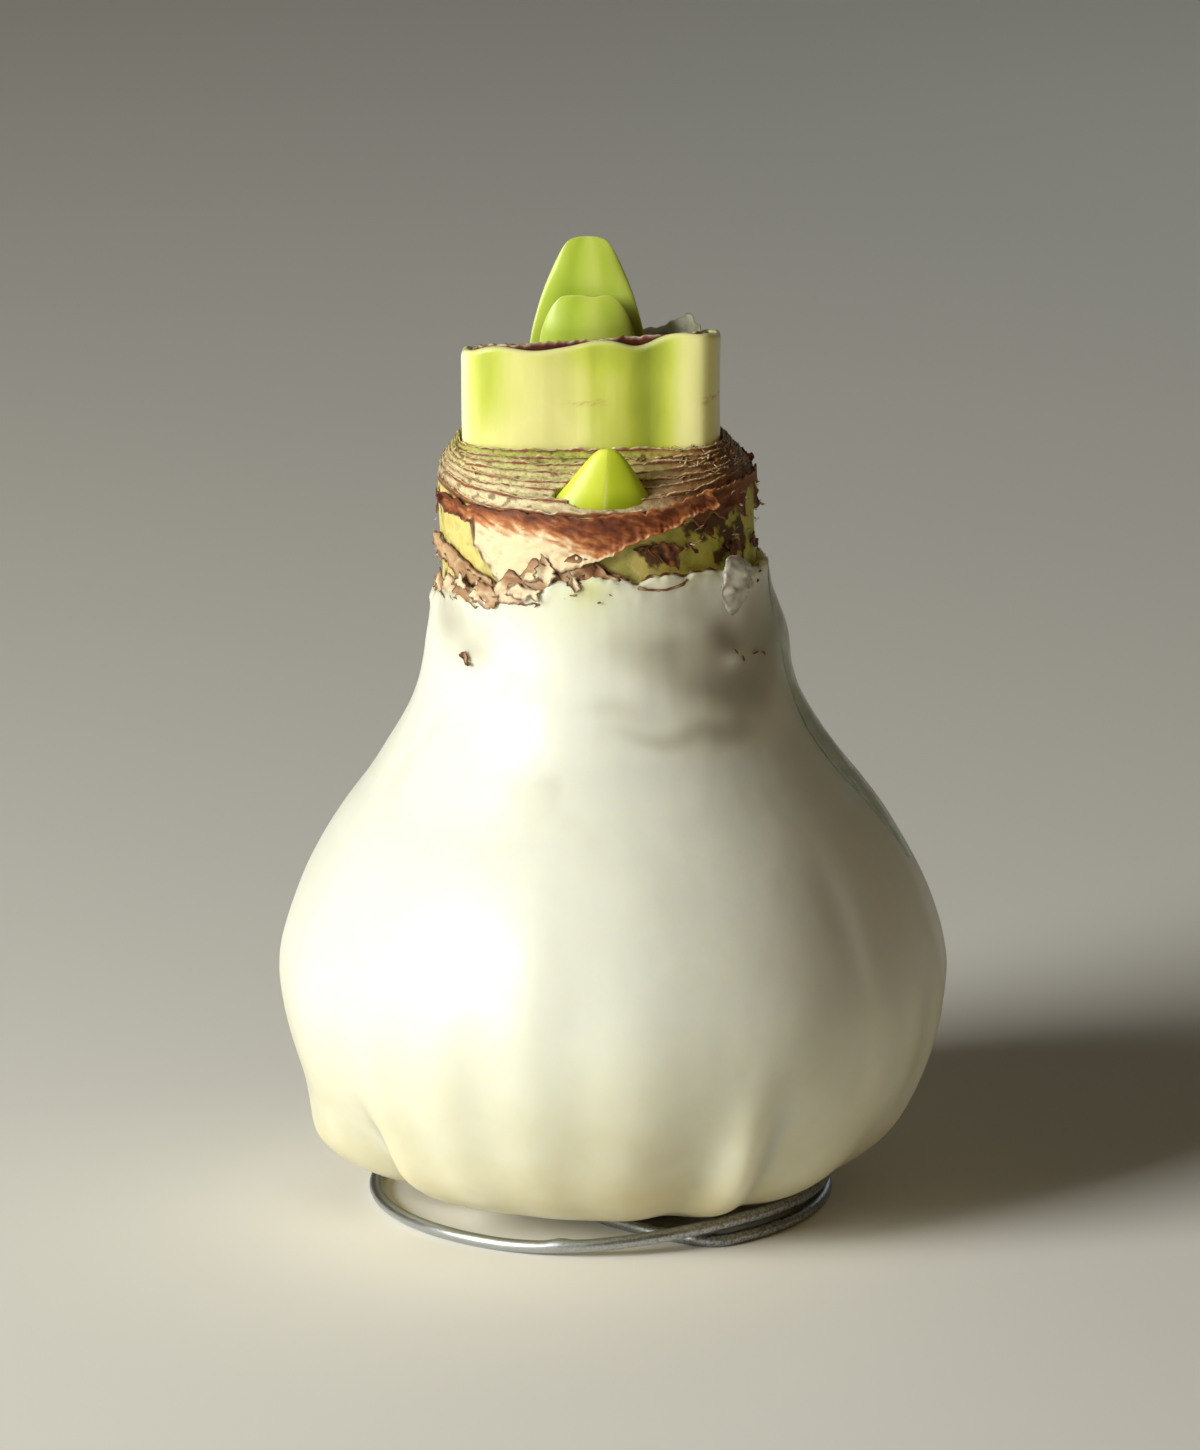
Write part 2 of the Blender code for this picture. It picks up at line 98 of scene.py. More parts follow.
def add_node(tree: bpy.types.NodeTree, kind: str, inputs: dict | None = None,
             stops: dict[float, str] | None = None, output: str | int | None = None,
             **settings: Any) -> bpy.types.NodeSocket:
    """Adds one node with its settings, its input values and its links.

    Args:
        tree: the material's node tree.
        kind: the node's type without its "ShaderNode", such as "TexNoise".
        inputs: what feed() gives the node.
        stops: a colour ramp's places and hex colours.
        output: the output to read, where it isn't the kind's usual one.
        settings: the node's own properties.
    Returns:
        The output socket.
    """
    made = tree.nodes.new("ShaderNode" + kind)
    for name, value in {**USUAL_SETTINGS.get(kind, {}), **settings}.items():
        setattr(made, name, value)
    feed(tree, made, inputs or {})
    for i, (place, code) in enumerate((stops or {}).items()):
        elements = made.color_ramp.elements
        stop = elements[i] if i < len(elements) else elements.new(place)
        stop.position = place
        stop.color = linear(code)
    return made.outputs[USUAL_OUTPUT.get(kind, 0) if output is None else output]


def smoothstep(low: float, high: float, value: Array | float) -> Array:
    """0 below low, 1 above high, and smooth between them."""
    t = np.clip((np.asarray(value, float) - low) / (high - low), 0.0, 1.0)
    return t * t * (3 - 2 * t)


def bell(value: Array | float, centre: float, width: float) -> Array:
    """A bell of height 1 at centre."""
    return np.exp(-(((np.asarray(value, float) - centre) / width) ** 2))


def angle_bell(degrees: Array | float, centre: float, width: float) -> Array:
    """A bell of height 1 at that angle, taken the short way round."""
    away = (np.asarray(degrees, float) - centre + 180.0) % 360.0 - 180.0
    return np.exp(-((away / width) ** 2))


def bells(places: Bells, degrees: Array, z: Array) -> Array:
    """Adds up the bells of a table at each point.

    Args:
        places: the table.
        degrees: angles round the axis.
        z: heights, in millimetres.
    Returns:
        The sum at each point.
    """
    out = np.zeros(np.broadcast(degrees, z).shape)
    for angle, width, height, spread, strength in places:
        out = out + strength * angle_bell(degrees, angle, width) * bell(z, height, spread)
    return out


def ridges(places: Ridges, degrees: Array) -> Array:
    """Adds up the ridges of a table at each angle."""
    return sum(strength * angle_bell(degrees, angle, width) for angle, width, strength in places)


def xyz(x: Array | float, y: Array | float, z: Array | float) -> Array:
    """Points from coordinates of shapes that broadcast together."""
    return np.stack(np.broadcast_arrays(x, y, z), -1)


def full_turn(count: int) -> Array:
    """A row of that many even steps round the axis, in degrees."""
    return np.linspace(0, 360, count, endpoint=False)[None, :]


def unit(vector: Array) -> Array:
    """The vector at length 1."""
    return vector / np.linalg.norm(vector)


def heading(degrees: float, tilt: float) -> Array:
    """The unit vector that runs round the axis there, tilted up by tilt radians."""
    phi = math.radians(float(degrees)) + math.pi / 2
    return np.array([math.cos(phi) * math.cos(tilt), math.sin(phi) * math.cos(tilt),
                     math.sin(tilt)])


def grain(points: Array, size: float, seed: float = 0.0, octaves: int = 1) -> Array:
    """Smooth noise from -1 to 1 at each point.

    Args:
        points: an array whose last axis is x, y, z in millimetres.
        size: how far apart its bumps lie, in millimetres.
        seed: moves the pattern.
        octaves: how many finer layers are added, each half as strong.
    Returns:
        An array of the points' leading shape.
    """
    flat = points.reshape(-1, 3) / size + seed * 7.31
    if octaves == 1:
        values = [noise.noise(Vector(p)) for p in flat]
    else:
        values = [noise.fractal(Vector(p), 1.0, 2.0, octaves) for p in flat]
    return np.array(values).reshape(points.shape[:-1])


def follow(edge: Edge, degrees: Array) -> Array:
    """Reads an edge given as (degrees, millimetres) pairs."""
    return np.interp(degrees, [p[0] for p in edge], [p[1] for p in edge])


def smooth_curve(points: list[tuple[float, ...]], count: int) -> Array:
    """count + 1 evenly spaced points along a smooth curve through the given ones.

    Args:
        points: the points to pass through.
        count: how many steps between the points.
    Returns:
        The points, in rows.
    """
    given = np.array(points, float)
    padded = np.vstack([2 * given[0] - given[1], given, 2 * given[-1] - given[-2]])
    t = np.linspace(0, 1, 24, endpoint=False)[:, None]
    pieces = []
    for a, b, c, d in zip(padded, padded[1:], padded[2:], padded[3:]):
        pieces.append(0.5 * (2 * b + (c - a) * t + (2 * a - 5 * b + 4 * c - d) * t * t
                             + (3 * b - 3 * c + d - a) * t ** 3))
    fine = np.vstack([*pieces, given[-1:]])
    along = np.concatenate([[0], np.cumsum(np.linalg.norm(np.diff(fine, axis=0), axis=1))])
    wanted = np.linspace(0, along[-1], count + 1)
    return np.stack([np.interp(wanted, along, fine[:, i]) for i in range(fine.shape[1])], 1)


def inset(outline: Array, distance: float) -> Array:
    """Moves a (radius, height) outline inwards, square to itself.

    Args:
        outline: rows of radius and height.
        distance: how far, in millimetres.
    Returns:
        The moved outline.
    """
    along = np.gradient(outline, axis=0)
    along /= np.linalg.norm(along, axis=1, keepdims=True)
    moved = outline + np.stack([along[:, 1], -along[:, 0]], 1) * distance
    moved[:, 0] = np.maximum(moved[:, 0], 0.0)
    return moved


def placed(name: str, mesh: bpy.types.Mesh) -> bpy.types.Object:
    """Shades a mesh smooth and links an object that holds it.

    Args:
        name: the object's name.
        mesh: the mesh.
    Returns:
        The object.
    """
    mesh.shade_smooth()
    made = bpy.data.objects.new(name, mesh)
    bpy.context.scene.collection.objects.link(made)
    return made


@dataclass
class Loft:
    """A mesh through rows of points, with named values on its points."""

    points: Array
    values: dict[str, Array] = field(default_factory=dict)
    close_columns: bool = True
    close_rows: bool = False
    cap_first: bool = False
    cap_last: bool = False

    def quads(self) -> list[tuple[int, int, int, int]]:
        """The faces between neighbouring rows and columns.

        Returns:
            The vertex numbers of each face.
        """
        rows, columns = self.points.shape[:2]
        index = np.arange(rows * columns).reshape(rows, columns)
        if self.close_rows:
            index = np.vstack([index, index[:1]])
        if self.close_columns:
            index = np.hstack([index, index[:, :1]])
        corners = (index[:-1, :-1], index[1:, :-1], index[1:, 1:], index[:-1, 1:])
        return np.stack(corners, -1).reshape(-1, 4).tolist()

    def build(self, name: str) -> bpy.types.Object:
        """Writes the mesh in metres and links its object.

        Args:
            name: the new object's name.
        Returns:
            The object, shaded smooth.
        """
        rows, columns = self.points.shape[:2]
        vertices = list(self.points.reshape(-1, 3))
        faces: list[Any] = self.quads()
        if self.cap_first:
            faces += [(len(vertices), c, (c + 1) % columns) for c in range(columns)]
            vertices.append(self.points[0].mean(axis=0))
        if self.cap_last:
            base = (rows - 1) * columns
            faces += [(len(vertices), base + (c + 1) % columns, base + c) for c in range(columns)]
            vertices.append(self.points[-1].mean(axis=0))
        mesh = bpy.data.meshes.new(name)
        mesh.from_pydata((np.array(vertices) * MM).tolist(), [], faces)
        for key, value in self.values.items():
            layer = mesh.attributes.new(key, "FLOAT", "POINT")
            flat = np.zeros(len(vertices), np.float32)
            flat[:rows * columns] = np.broadcast_to(value, (rows, columns)).reshape(-1)
            layer.data.foreach_set("value", flat)
        return placed(name, mesh)


@dataclass
class Bundle:
    """Many small skins gathered in one mesh."""

    points: list[Array] = field(default_factory=list)
    faces: list[Any] = field(default_factory=list)
    values: dict[str, list[Array]] = field(default_factory=dict)
    count: int = 0

    def add(self, block: Array, close_columns: bool, close_rows: bool, **values: Array) -> None:
        """Adds one grid of points with its named values.

        Args:
            block: rows by columns of points, in millimetres.
            close_columns: whether the last column joins the first.
            close_rows: whether the last row joins the first.
            values: named values, one for each point.
        """
        grid = Loft(block, close_columns=close_columns, close_rows=close_rows)
        self.faces += [tuple(self.count + i for i in quad) for quad in grid.quads()]
        self.points.append(block.reshape(-1, 3))
        for key, value in values.items():
            full = np.broadcast_to(value, block.shape[:2]).reshape(-1)
            self.values.setdefault(key, []).append(full)
        self.count += block.shape[0] * block.shape[1]

    def sliver(self, middle: Array, along: Array, up: Array, size: tuple[float, float, float],
               bend: float, **values: float) -> None:
        """Adds a thin pointed scrap.

        Args:
            middle: its middle point.
            along: unit vector of its length.
            up: unit vector away from what it lies on.
            size: its length, width and thickness.
            bend: how far its ends stand up.
            values: named values for all its points.
        """
        length, width, thick = size
        side = np.cross(up, along)
        rows = []
        for place, wide in ((-0.5, 0.0), (-0.3, 0.7), (0.0, 1.0), (0.28, 0.75), (0.5, 0.0)):
            centre = middle + along * length * place + up * bend * (2 * place) ** 2
            rows.append([centre + side * width * wide * a + up * thick * wide * b
                         for a, b in ((-0.5, 0.0), (0.0, 0.5), (0.5, 0.0), (0.0, -0.5))])
        self.add(np.array(rows), True, False, **{k: np.array(v) for k, v in values.items()})

    def build(self, name: str) -> bpy.types.Object:
        """Writes the gathered mesh, with points that coincide merged.

        Args:
            name: the new object's name.
        Returns:
            The object, shaded smooth.
        """
        mesh = bpy.data.meshes.new(name)
        mesh.from_pydata((np.concatenate(self.points) * MM).tolist(), [], self.faces)
        for key, value in self.values.items():
            layer = mesh.attributes.new(key, "FLOAT", "POINT")
            layer.data.foreach_set("value", np.concatenate(value).astype(np.float32))
        work = bmesh.new()
        work.from_mesh(mesh)
        bmesh.ops.remove_doubles(work, verts=work.verts, dist=1e-7)
        bmesh.ops.recalc_face_normals(work, faces=work.faces)
        work.to_mesh(mesh)
        work.free()
        return placed(name, mesh)


def outward(obj: bpy.types.Object) -> bpy.types.Object:
    """Turns the object's faces outwards.

    Args:
        obj: the object.
    Returns:
        The same object.
    """
    work = bmesh.new()
    work.from_mesh(obj.data)
    bmesh.ops.recalc_face_normals(work, faces=work.faces)
    work.to_mesh(obj.data)
    work.free()
    return obj


def dress(obj: bpy.types.Object, surface: bpy.types.Material, slot: str,
          *stands_for: str) -> bpy.types.Object:
    """Gives a piece its material and its body, and hides what it stands for.

    Args:
        obj: the piece.
        surface: its material.
        slot: the record's material slot; not used.
        stands_for: the CAD nodes that it replaces.
    Returns:
        The piece.
    """
    obj.data.materials.clear()
    obj.data.materials.append(surface)
    if stands_for:
        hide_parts(*stands_for)
    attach(obj, ROOT_BODY)
    LOG.info("made %s", obj.name)
    return obj


class Slot(Enum):
    """The record's material slots."""

    WIRE = "galvanised_wire"
    WAX = "white_wax"
    FLESH = "bulb_flesh"
    LEAF = "leaf_green"
    BUD = "bud_green"
    SCALE = "dry_scale"
    SKIN = "dry_skin"


class Finish:
    """A material that starts from one Principled shader."""

    name: str

    def material(self) -> bpy.types.Material:
        """Makes the material and lets the finish paint it.

        Returns:
            The material.
        """
        made = bpy.data.materials.new(self.name)
        made.use_nodes = True
        self.paint(made.node_tree, made.node_tree.nodes["Principled BSDF"])
        return made

    def paint(self, tree: bpy.types.NodeTree, shader: bpy.types.Node) -> None:
        """Sets the shader's values and adds the nodes that feed it.

        Args:
            tree: the material's node tree.
            shader: its Principled shader.
        """
        raise NotImplementedError


@dataclass(frozen=True)
class DippedWax(Finish):
    """Candle wax, a paraffin blend, dipped hot and cooled in air.

    It is milky and soft: light goes a few millimetres in, and the surface has a low satin
    gloss. Where the coat is thin the bulb's skin shows through as a grey mauve.
    """

    name: str = "dipped_candle_wax"
    milk: str = "#F5F5E0"
    cream: str = "#D8CDA4"
    shadow_through: str = "#857C70"
    # The green tint is partly painted shade under the front rim.
    green_through_and_painted_shade: str = "#DFE0A4"
    # The aqua tint is partly a painted glow at the right edge.
    clear_wax_and_painted_glow: str = "#B4D2C4"
    roughness: float = 0.38
    glow_depth_mm: float = 4.0
    cream_heights_mm: tuple[float, float] = (6.0, 42.0)
    cloud_mm: float = 14.0
    ripple_mm: float = 9.0

    def paint(self, tree: bpy.types.NodeTree, shader: bpy.types.Node) -> None:
        """Milky body, cream towards the foot, the tints of its thin places, a green tint that is
        partly painted shade under the rim and an aqua tint that is partly a painted glow.

        Args:
            tree: the material's node tree.
            shader: its Principled shader.
        """
        place = add_node(tree, "TexCoord")
        height = add_node(tree, "SeparateXYZ", {0: place}, output="Z")
        foot, belly = self.cream_heights_mm
        low = add_node(tree, "MapRange", {0: height, 1: foot * MM, 2: belly * MM, 3: 1.7, 4: 0.0})
        cloud = add_node(tree, "TexNoise", {
            "Vector": place, "Scale": 1 / (self.cloud_mm * MM), "Detail": 3.0, "Roughness": 0.5})
        warmth = add_node(tree, "Math", {0: low, 1: cloud}, operation="MULTIPLY", use_clamp=True)
        tone = add_node(tree, "Mix", {0: warmth, 6: self.milk, 7: self.cream})
        for layer, code in (("green", self.green_through_and_painted_shade), ("thin", self.shadow_through),
                            ("clear", self.clear_wax_and_painted_glow)):
            amount = add_node(tree, "Attribute", attribute_name=layer)
            tone = add_node(tree, "Mix", {0: amount, 6: tone, 7: code})
        ripple = add_node(tree, "TexNoise", {
            "Vector": place, "Scale": 1 / (self.ripple_mm * MM), "Detail": 4.0, "Roughness": 0.6})
        bump = add_node(tree, "Bump", {"Height": ripple, "Strength": 0.12, "Distance": 0.6 * MM})
        smear = add_node(tree, "MapRange", {
            0: cloud, 3: self.roughness - 0.08, 4: self.roughness + 0.1})
        feed(tree, shader, {
            "Base Color": tone, "Normal": bump, "Roughness": smear, "IOR": 1.44,
            "Subsurface Weight": 0.55, "Subsurface Scale": self.glow_depth_mm * MM,
            "Subsurface Radius": (1.0, 0.8, 0.45), "Coat Weight": 0.12, "Coat Roughness": 0.2})


@dataclass(frozen=True)
class ClearWax(Finish):
    """Wax that ran thin and set clear: a glassy film with milky streaks."""

    name: str
    tint: str
    streak: str
    clearness: float
    relief_mm: float
    streak_mm: float = 2.2

    def paint(self, tree: bpy.types.NodeTree, shader: bpy.types.Node) -> None:
        """Part clear, with a soft gloss and fine streaks.

        Args:
            tree: the material's node tree.
            shader: its Principled shader.
        """
        place = add_node(tree, "TexCoord")
        streak = add_node(tree, "TexNoise", {
            "Vector": place, "Scale": 1 / (self.streak_mm * MM), "Detail": 4.0})
        colour = add_node(tree, "ValToRGB", {0: streak},
                          stops={0.35: self.streak, 0.62: self.tint})
        bump = add_node(tree, "Bump", {
            "Height": streak, "Strength": 0.5, "Distance": self.relief_mm * MM})
        feed(tree, shader, {
            "Base Color": colour, "Normal": bump, "Roughness": 0.2, "IOR": 1.44,
            "Transmission Weight": self.clearness, "Subsurface Weight": 0.4,
            "Subsurface Scale": 1.5 * MM})


@dataclass(frozen=True)
class LeafTissue(Finish):
    """Living leaf: smooth skin with a waxy bloom over green flesh that light enters."""

    name: str
    deep: str
    fresh: str
    pale: str
    margin: str
    scar: str = "#C79A6A"
    mottle_mm: float = 5.0
    mottle_strength: float = 0.35
    vein_mm: float = 0.9

    def paint(self, tree: bpy.types.NodeTree, shader: bpy.types.Node) -> None:
        """Greens by the shade layer, which holds the green's own tone and painted light and shade,
        pale margins, and fine upright veins.

        Args:
            tree: the material's node tree.
            shader: its Principled shader.
        """
        place = add_node(tree, "TexCoord")
        shade = add_node(tree, "Attribute", attribute_name="shade")
        tall = add_node(tree, "Mapping", {0: place, 3: (1.0, 1.0, 0.35)})
        mottle = add_node(tree, "TexNoise", {
            "Vector": tall, "Scale": 1 / (self.mottle_mm * MM), "Detail": 3.0})
        mixed = add_node(tree, "Math", {0: mottle, 1: self.mottle_strength, 2: shade},
                         operation="MULTIPLY_ADD")
        mixed = add_node(tree, "Math", {0: mixed, 1: self.mottle_strength / 2},
                         operation="SUBTRACT")
        tone = add_node(tree, "ValToRGB", {0: mixed},
                        stops={0.1: self.deep, 0.5: self.fresh, 0.9: self.pale})
        for layer, code in (("margin", self.margin), ("scar", self.scar)):
            amount = add_node(tree, "Attribute", attribute_name=layer)
            tone = add_node(tree, "Mix", {0: amount, 6: tone, 7: code})
        upright = add_node(tree, "Mapping", {0: place, 3: (1.0, 1.0, 0.04)})
        veins = add_node(tree, "TexNoise", {
            "Vector": upright, "Scale": 1 / (self.vein_mm * MM), "Detail": 2.0})
        bump = add_node(tree, "Bump", {"Height": veins, "Strength": 0.12, "Distance": 0.2 * MM})
        feed(tree, shader, {
            "Base Color": tone, "Normal": bump, "Roughness": 0.36, "IOR": 1.42,
            "Subsurface Weight": 0.35, "Subsurface Scale": 2.0 * MM,
            "Subsurface Radius": (0.8, 1.0, 0.3), "Coat Weight": 0.15, "Coat Roughness": 0.25})


@dataclass(frozen=True)
class ScaleFlesh(Finish):
    """The cut bulb: firm pale flesh that has dried, with a brown line at each scale's edge."""

    name: str = "dried_scale_flesh"
    flesh: tuple[str, ...] = ("#BFCB60", "#DAD790", "#E8E2A8", "#EEE6B8", "#F4EAC4")
    parched: str = "#A56A38"
    line: str = "#4A2814"
    wall_green: str = "#DCD084"
    wall_olive: str = "#C6C84C"
    blotch: str = "#55301A"
    fibre_mm: float = 0.5
    stain_mm: float = 4.0

    def paint(self, tree: bpy.types.NodeTree, shader: bpy.types.Node) -> None:
        """Flesh bands by the share layer, brown lines by the line layer, widened on the right as
        painted shade, and the bare wall.

        Args:
            tree: the material's node tree.
            shader: its Principled shader.
        """
        place = add_node(tree, "TexCoord")
        layers = {key: add_node(tree, "Attribute", attribute_name=key)
                  for key in ("share", "line", "wall", "olive", "blotch", "parched")}
        places = np.linspace(0.04, 0.96, len(self.flesh))
        bands = add_node(tree, "ValToRGB", {0: layers["share"]},
                         stops=dict(zip(places.tolist(), self.flesh)))
        speck = add_node(tree, "TexNoise", {
            "Vector": place, "Scale": 1 / (self.fibre_mm * MM), "Detail": 5.0, "Roughness": 0.7})
        dry = add_node(tree, "ValToRGB", {0: speck},
                       stops={0.32: "#8E7650", 0.43: "#ECE4CE", 0.55: "#FFFFFF"})
        brown = speck
        for factor in (layers["parched"], 1.7):
            brown = add_node(tree, "Math", {0: brown, 1: factor}, operation="MULTIPLY",
                             use_clamp=True)
        bands = add_node(tree, "Mix", {0: brown, 6: bands, 7: self.parched})
        face = add_node(tree, "Mix", {0: 0.75, 6: bands, 7: dry}, blend_type="MULTIPLY")
        patch = add_node(tree, "TexNoise", {
            "Vector": place, "Scale": 1 / (self.stain_mm * MM), "Detail": 3.0})
        wall = add_node(tree, "Mix", {0: layers["olive"], 6: self.wall_green, 7: self.wall_olive})
        stain = add_node(tree, "ValToRGB", {0: patch},
                         stops={0.36: "#C9CF9A", 0.5: "#FFFFFF", 0.64: "#F8E6BE"})
        wall = add_node(tree, "Mix", {0: 0.8, 6: wall, 7: stain}, blend_type="MULTIPLY")
        tone = add_node(tree, "Mix", {0: layers["wall"], 6: face, 7: wall})
        for key, code in (("line", self.line), ("blotch", self.blotch)):
            tone = add_node(tree, "Mix", {0: layers[key], 6: tone, 7: code})
        bump = add_node(tree, "Bump", {"Height": speck, "Strength": 0.5, "Distance": 0.25 * MM})
        feed(tree, shader, {
            "Base Color": tone, "Normal": bump, "Roughness": 0.62, "IOR": 1.42,
            "Subsurface Weight": 0.12, "Subsurface Scale": 1.2 * MM,
            "Subsurface Radius": (1.0, 0.8, 0.4)})


@dataclass(frozen=True)
class PaperySkin(Finish):
    """Dry outer skin of the bulb: thin brown paper with long fibres, cream where it is bleached.

    The fibres are drawn six times as coarse as they are, so that they show in the render.
    """

    name: str
    dark: str
    brown: str
    cream: str
    lip: str
    warm: str = "#B87A44"
    fibre_mm: float = 0.35
    contrast: float = 0.7
    relief: float = 0.35
    along: tuple[float, float, float] = (1.0, 1.0, 5.0)

    def paint(self, tree: bpy.types.NodeTree, shader: bpy.types.Node) -> None:
        """Brown to cream by the bleach layer, broken up by fibres, with a pale torn lip.

        Args:
            tree: the material's node tree.
            shader: its Principled shader.
        """
        place = add_node(tree, "TexCoord")
        stretched = add_node(tree, "Mapping", {0: place, 3: self.along})
        fibre = add_node(tree, "TexNoise", {
            "Vector": stretched, "Scale": 1 / (6 * self.fibre_mm * MM), "Detail": 6.0,
            "Roughness": 0.7})
        bleach = add_node(tree, "Attribute", attribute_name="bleach")
        amount = add_node(tree, "Math", {0: fibre, 1: self.contrast, 2: bleach},
                          operation="MULTIPLY_ADD")
        amount = add_node(tree, "Math", {0: amount, 1: self.contrast / 2}, operation="SUBTRACT")
        paper = add_node(tree, "ValToRGB", {0: amount}, stops={
            0.05: self.dark, 0.34: self.brown, 0.6: self.warm, 0.84: self.cream})
        torn = add_node(tree, "Attribute", attribute_name="lip")
        tone = add_node(tree, "Mix", {0: torn, 6: paper, 7: self.lip})
        bump = add_node(tree, "Bump", {
            "Height": fibre, "Strength": self.relief, "Distance": 0.3 * MM})
        feed(tree, shader, {
            "Base Color": tone, "Normal": bump, "Roughness": 0.6, "IOR": 1.45,
            "Sheen Weight": 0.03, "Subsurface Weight": 0.08, "Subsurface Scale": 0.6 * MM})


@dataclass(frozen=True)
class TornMembrane(Finish):
    """A scale dried to a thin film: grey green and half clear."""

    name: str = "dried_membrane"
    tint: str = "#E9E9D2"
    streak: str = "#A9AC86"
    streak_mm: float = 2.0

    def paint(self, tree: bpy.types.NodeTree, shader: bpy.types.Node) -> None:
        """Lets some light through, streaked along its fibres.

        Args:
            tree: the material's node tree.
            shader: its Principled shader.
        """
        streak = add_node(tree, "TexNoise", {
            "Vector": add_node(tree, "TexCoord"), "Scale": 1 / (self.streak_mm * MM),
            "Detail": 4.0})
        tone = add_node(tree, "ValToRGB", {0: streak}, stops={0.3: self.streak, 0.7: self.tint})
        feed(tree, shader, {
            "Base Color": tone, "Roughness": 0.35, "IOR": 1.4, "Transmission Weight": 0.45})


@dataclass(frozen=True)
class GalvanisedWire(Finish):
    """Steel wire drawn through molten zinc: dull grey metal, speckled where the zinc is rough."""

    name: str = "galvanised_steel_wire"
    zinc: str = "#B9BDC0"
    dark_zinc: str = "#6E7275"
    speckle_mm: float = 0.45
    rough_from_mm: float = -12.0
    rough_to_mm: float = 16.0

    def paint(self, tree: bpy.types.NodeTree, shader: bpy.types.Node) -> None:
        """Fine zinc speckle in colour, roughness and relief, stronger to the right.

        Args:
            tree: the material's node tree.
            shader: its Principled shader.
        """
        place = add_node(tree, "TexCoord")
        speckle = add_node(tree, "TexNoise", {
            "Vector": place, "Scale": 1 / (self.speckle_mm * MM), "Detail": 4.0,
            "Roughness": 0.65})
        side = add_node(tree, "SeparateXYZ", {0: place}, output="X")
        rough = add_node(tree, "MapRange", {
            0: side, 1: self.rough_from_mm * MM, 2: self.rough_to_mm * MM, 3: 0.08, 4: 1.0})
        tone = add_node(tree, "ValToRGB", {0: speckle},
                        stops={0.36: self.dark_zinc, 0.56: self.zinc})
        even = add_node(tree, "Mix", {0: rough, 6: self.zinc, 7: tone})
        strength = add_node(tree, "Math", {0: rough, 1: 0.6}, operation="MULTIPLY")
        bump = add_node(tree, "Bump", {
            "Height": speckle, "Strength": strength, "Distance": 0.12 * MM})
        gloss = add_node(tree, "MapRange", {0: speckle, 3: 0.24, 4: 0.5})
        feed(tree, shader, {
            "Base Color": even, "Normal": bump, "Roughness": gloss, "Metallic": 1.0})


@dataclass(frozen=True)
class PaintedFloor(Finish):
    """A matt pale studio sweep."""

    name: str = "studio_floor"
    tone: str = "#F4F3EF"

    def paint(self, tree: bpy.types.NodeTree, shader: bpy.types.Node) -> None:
        """One even matt tone."""
        feed(tree, shader, {"Base Color": self.tone, "Roughness": 0.8})


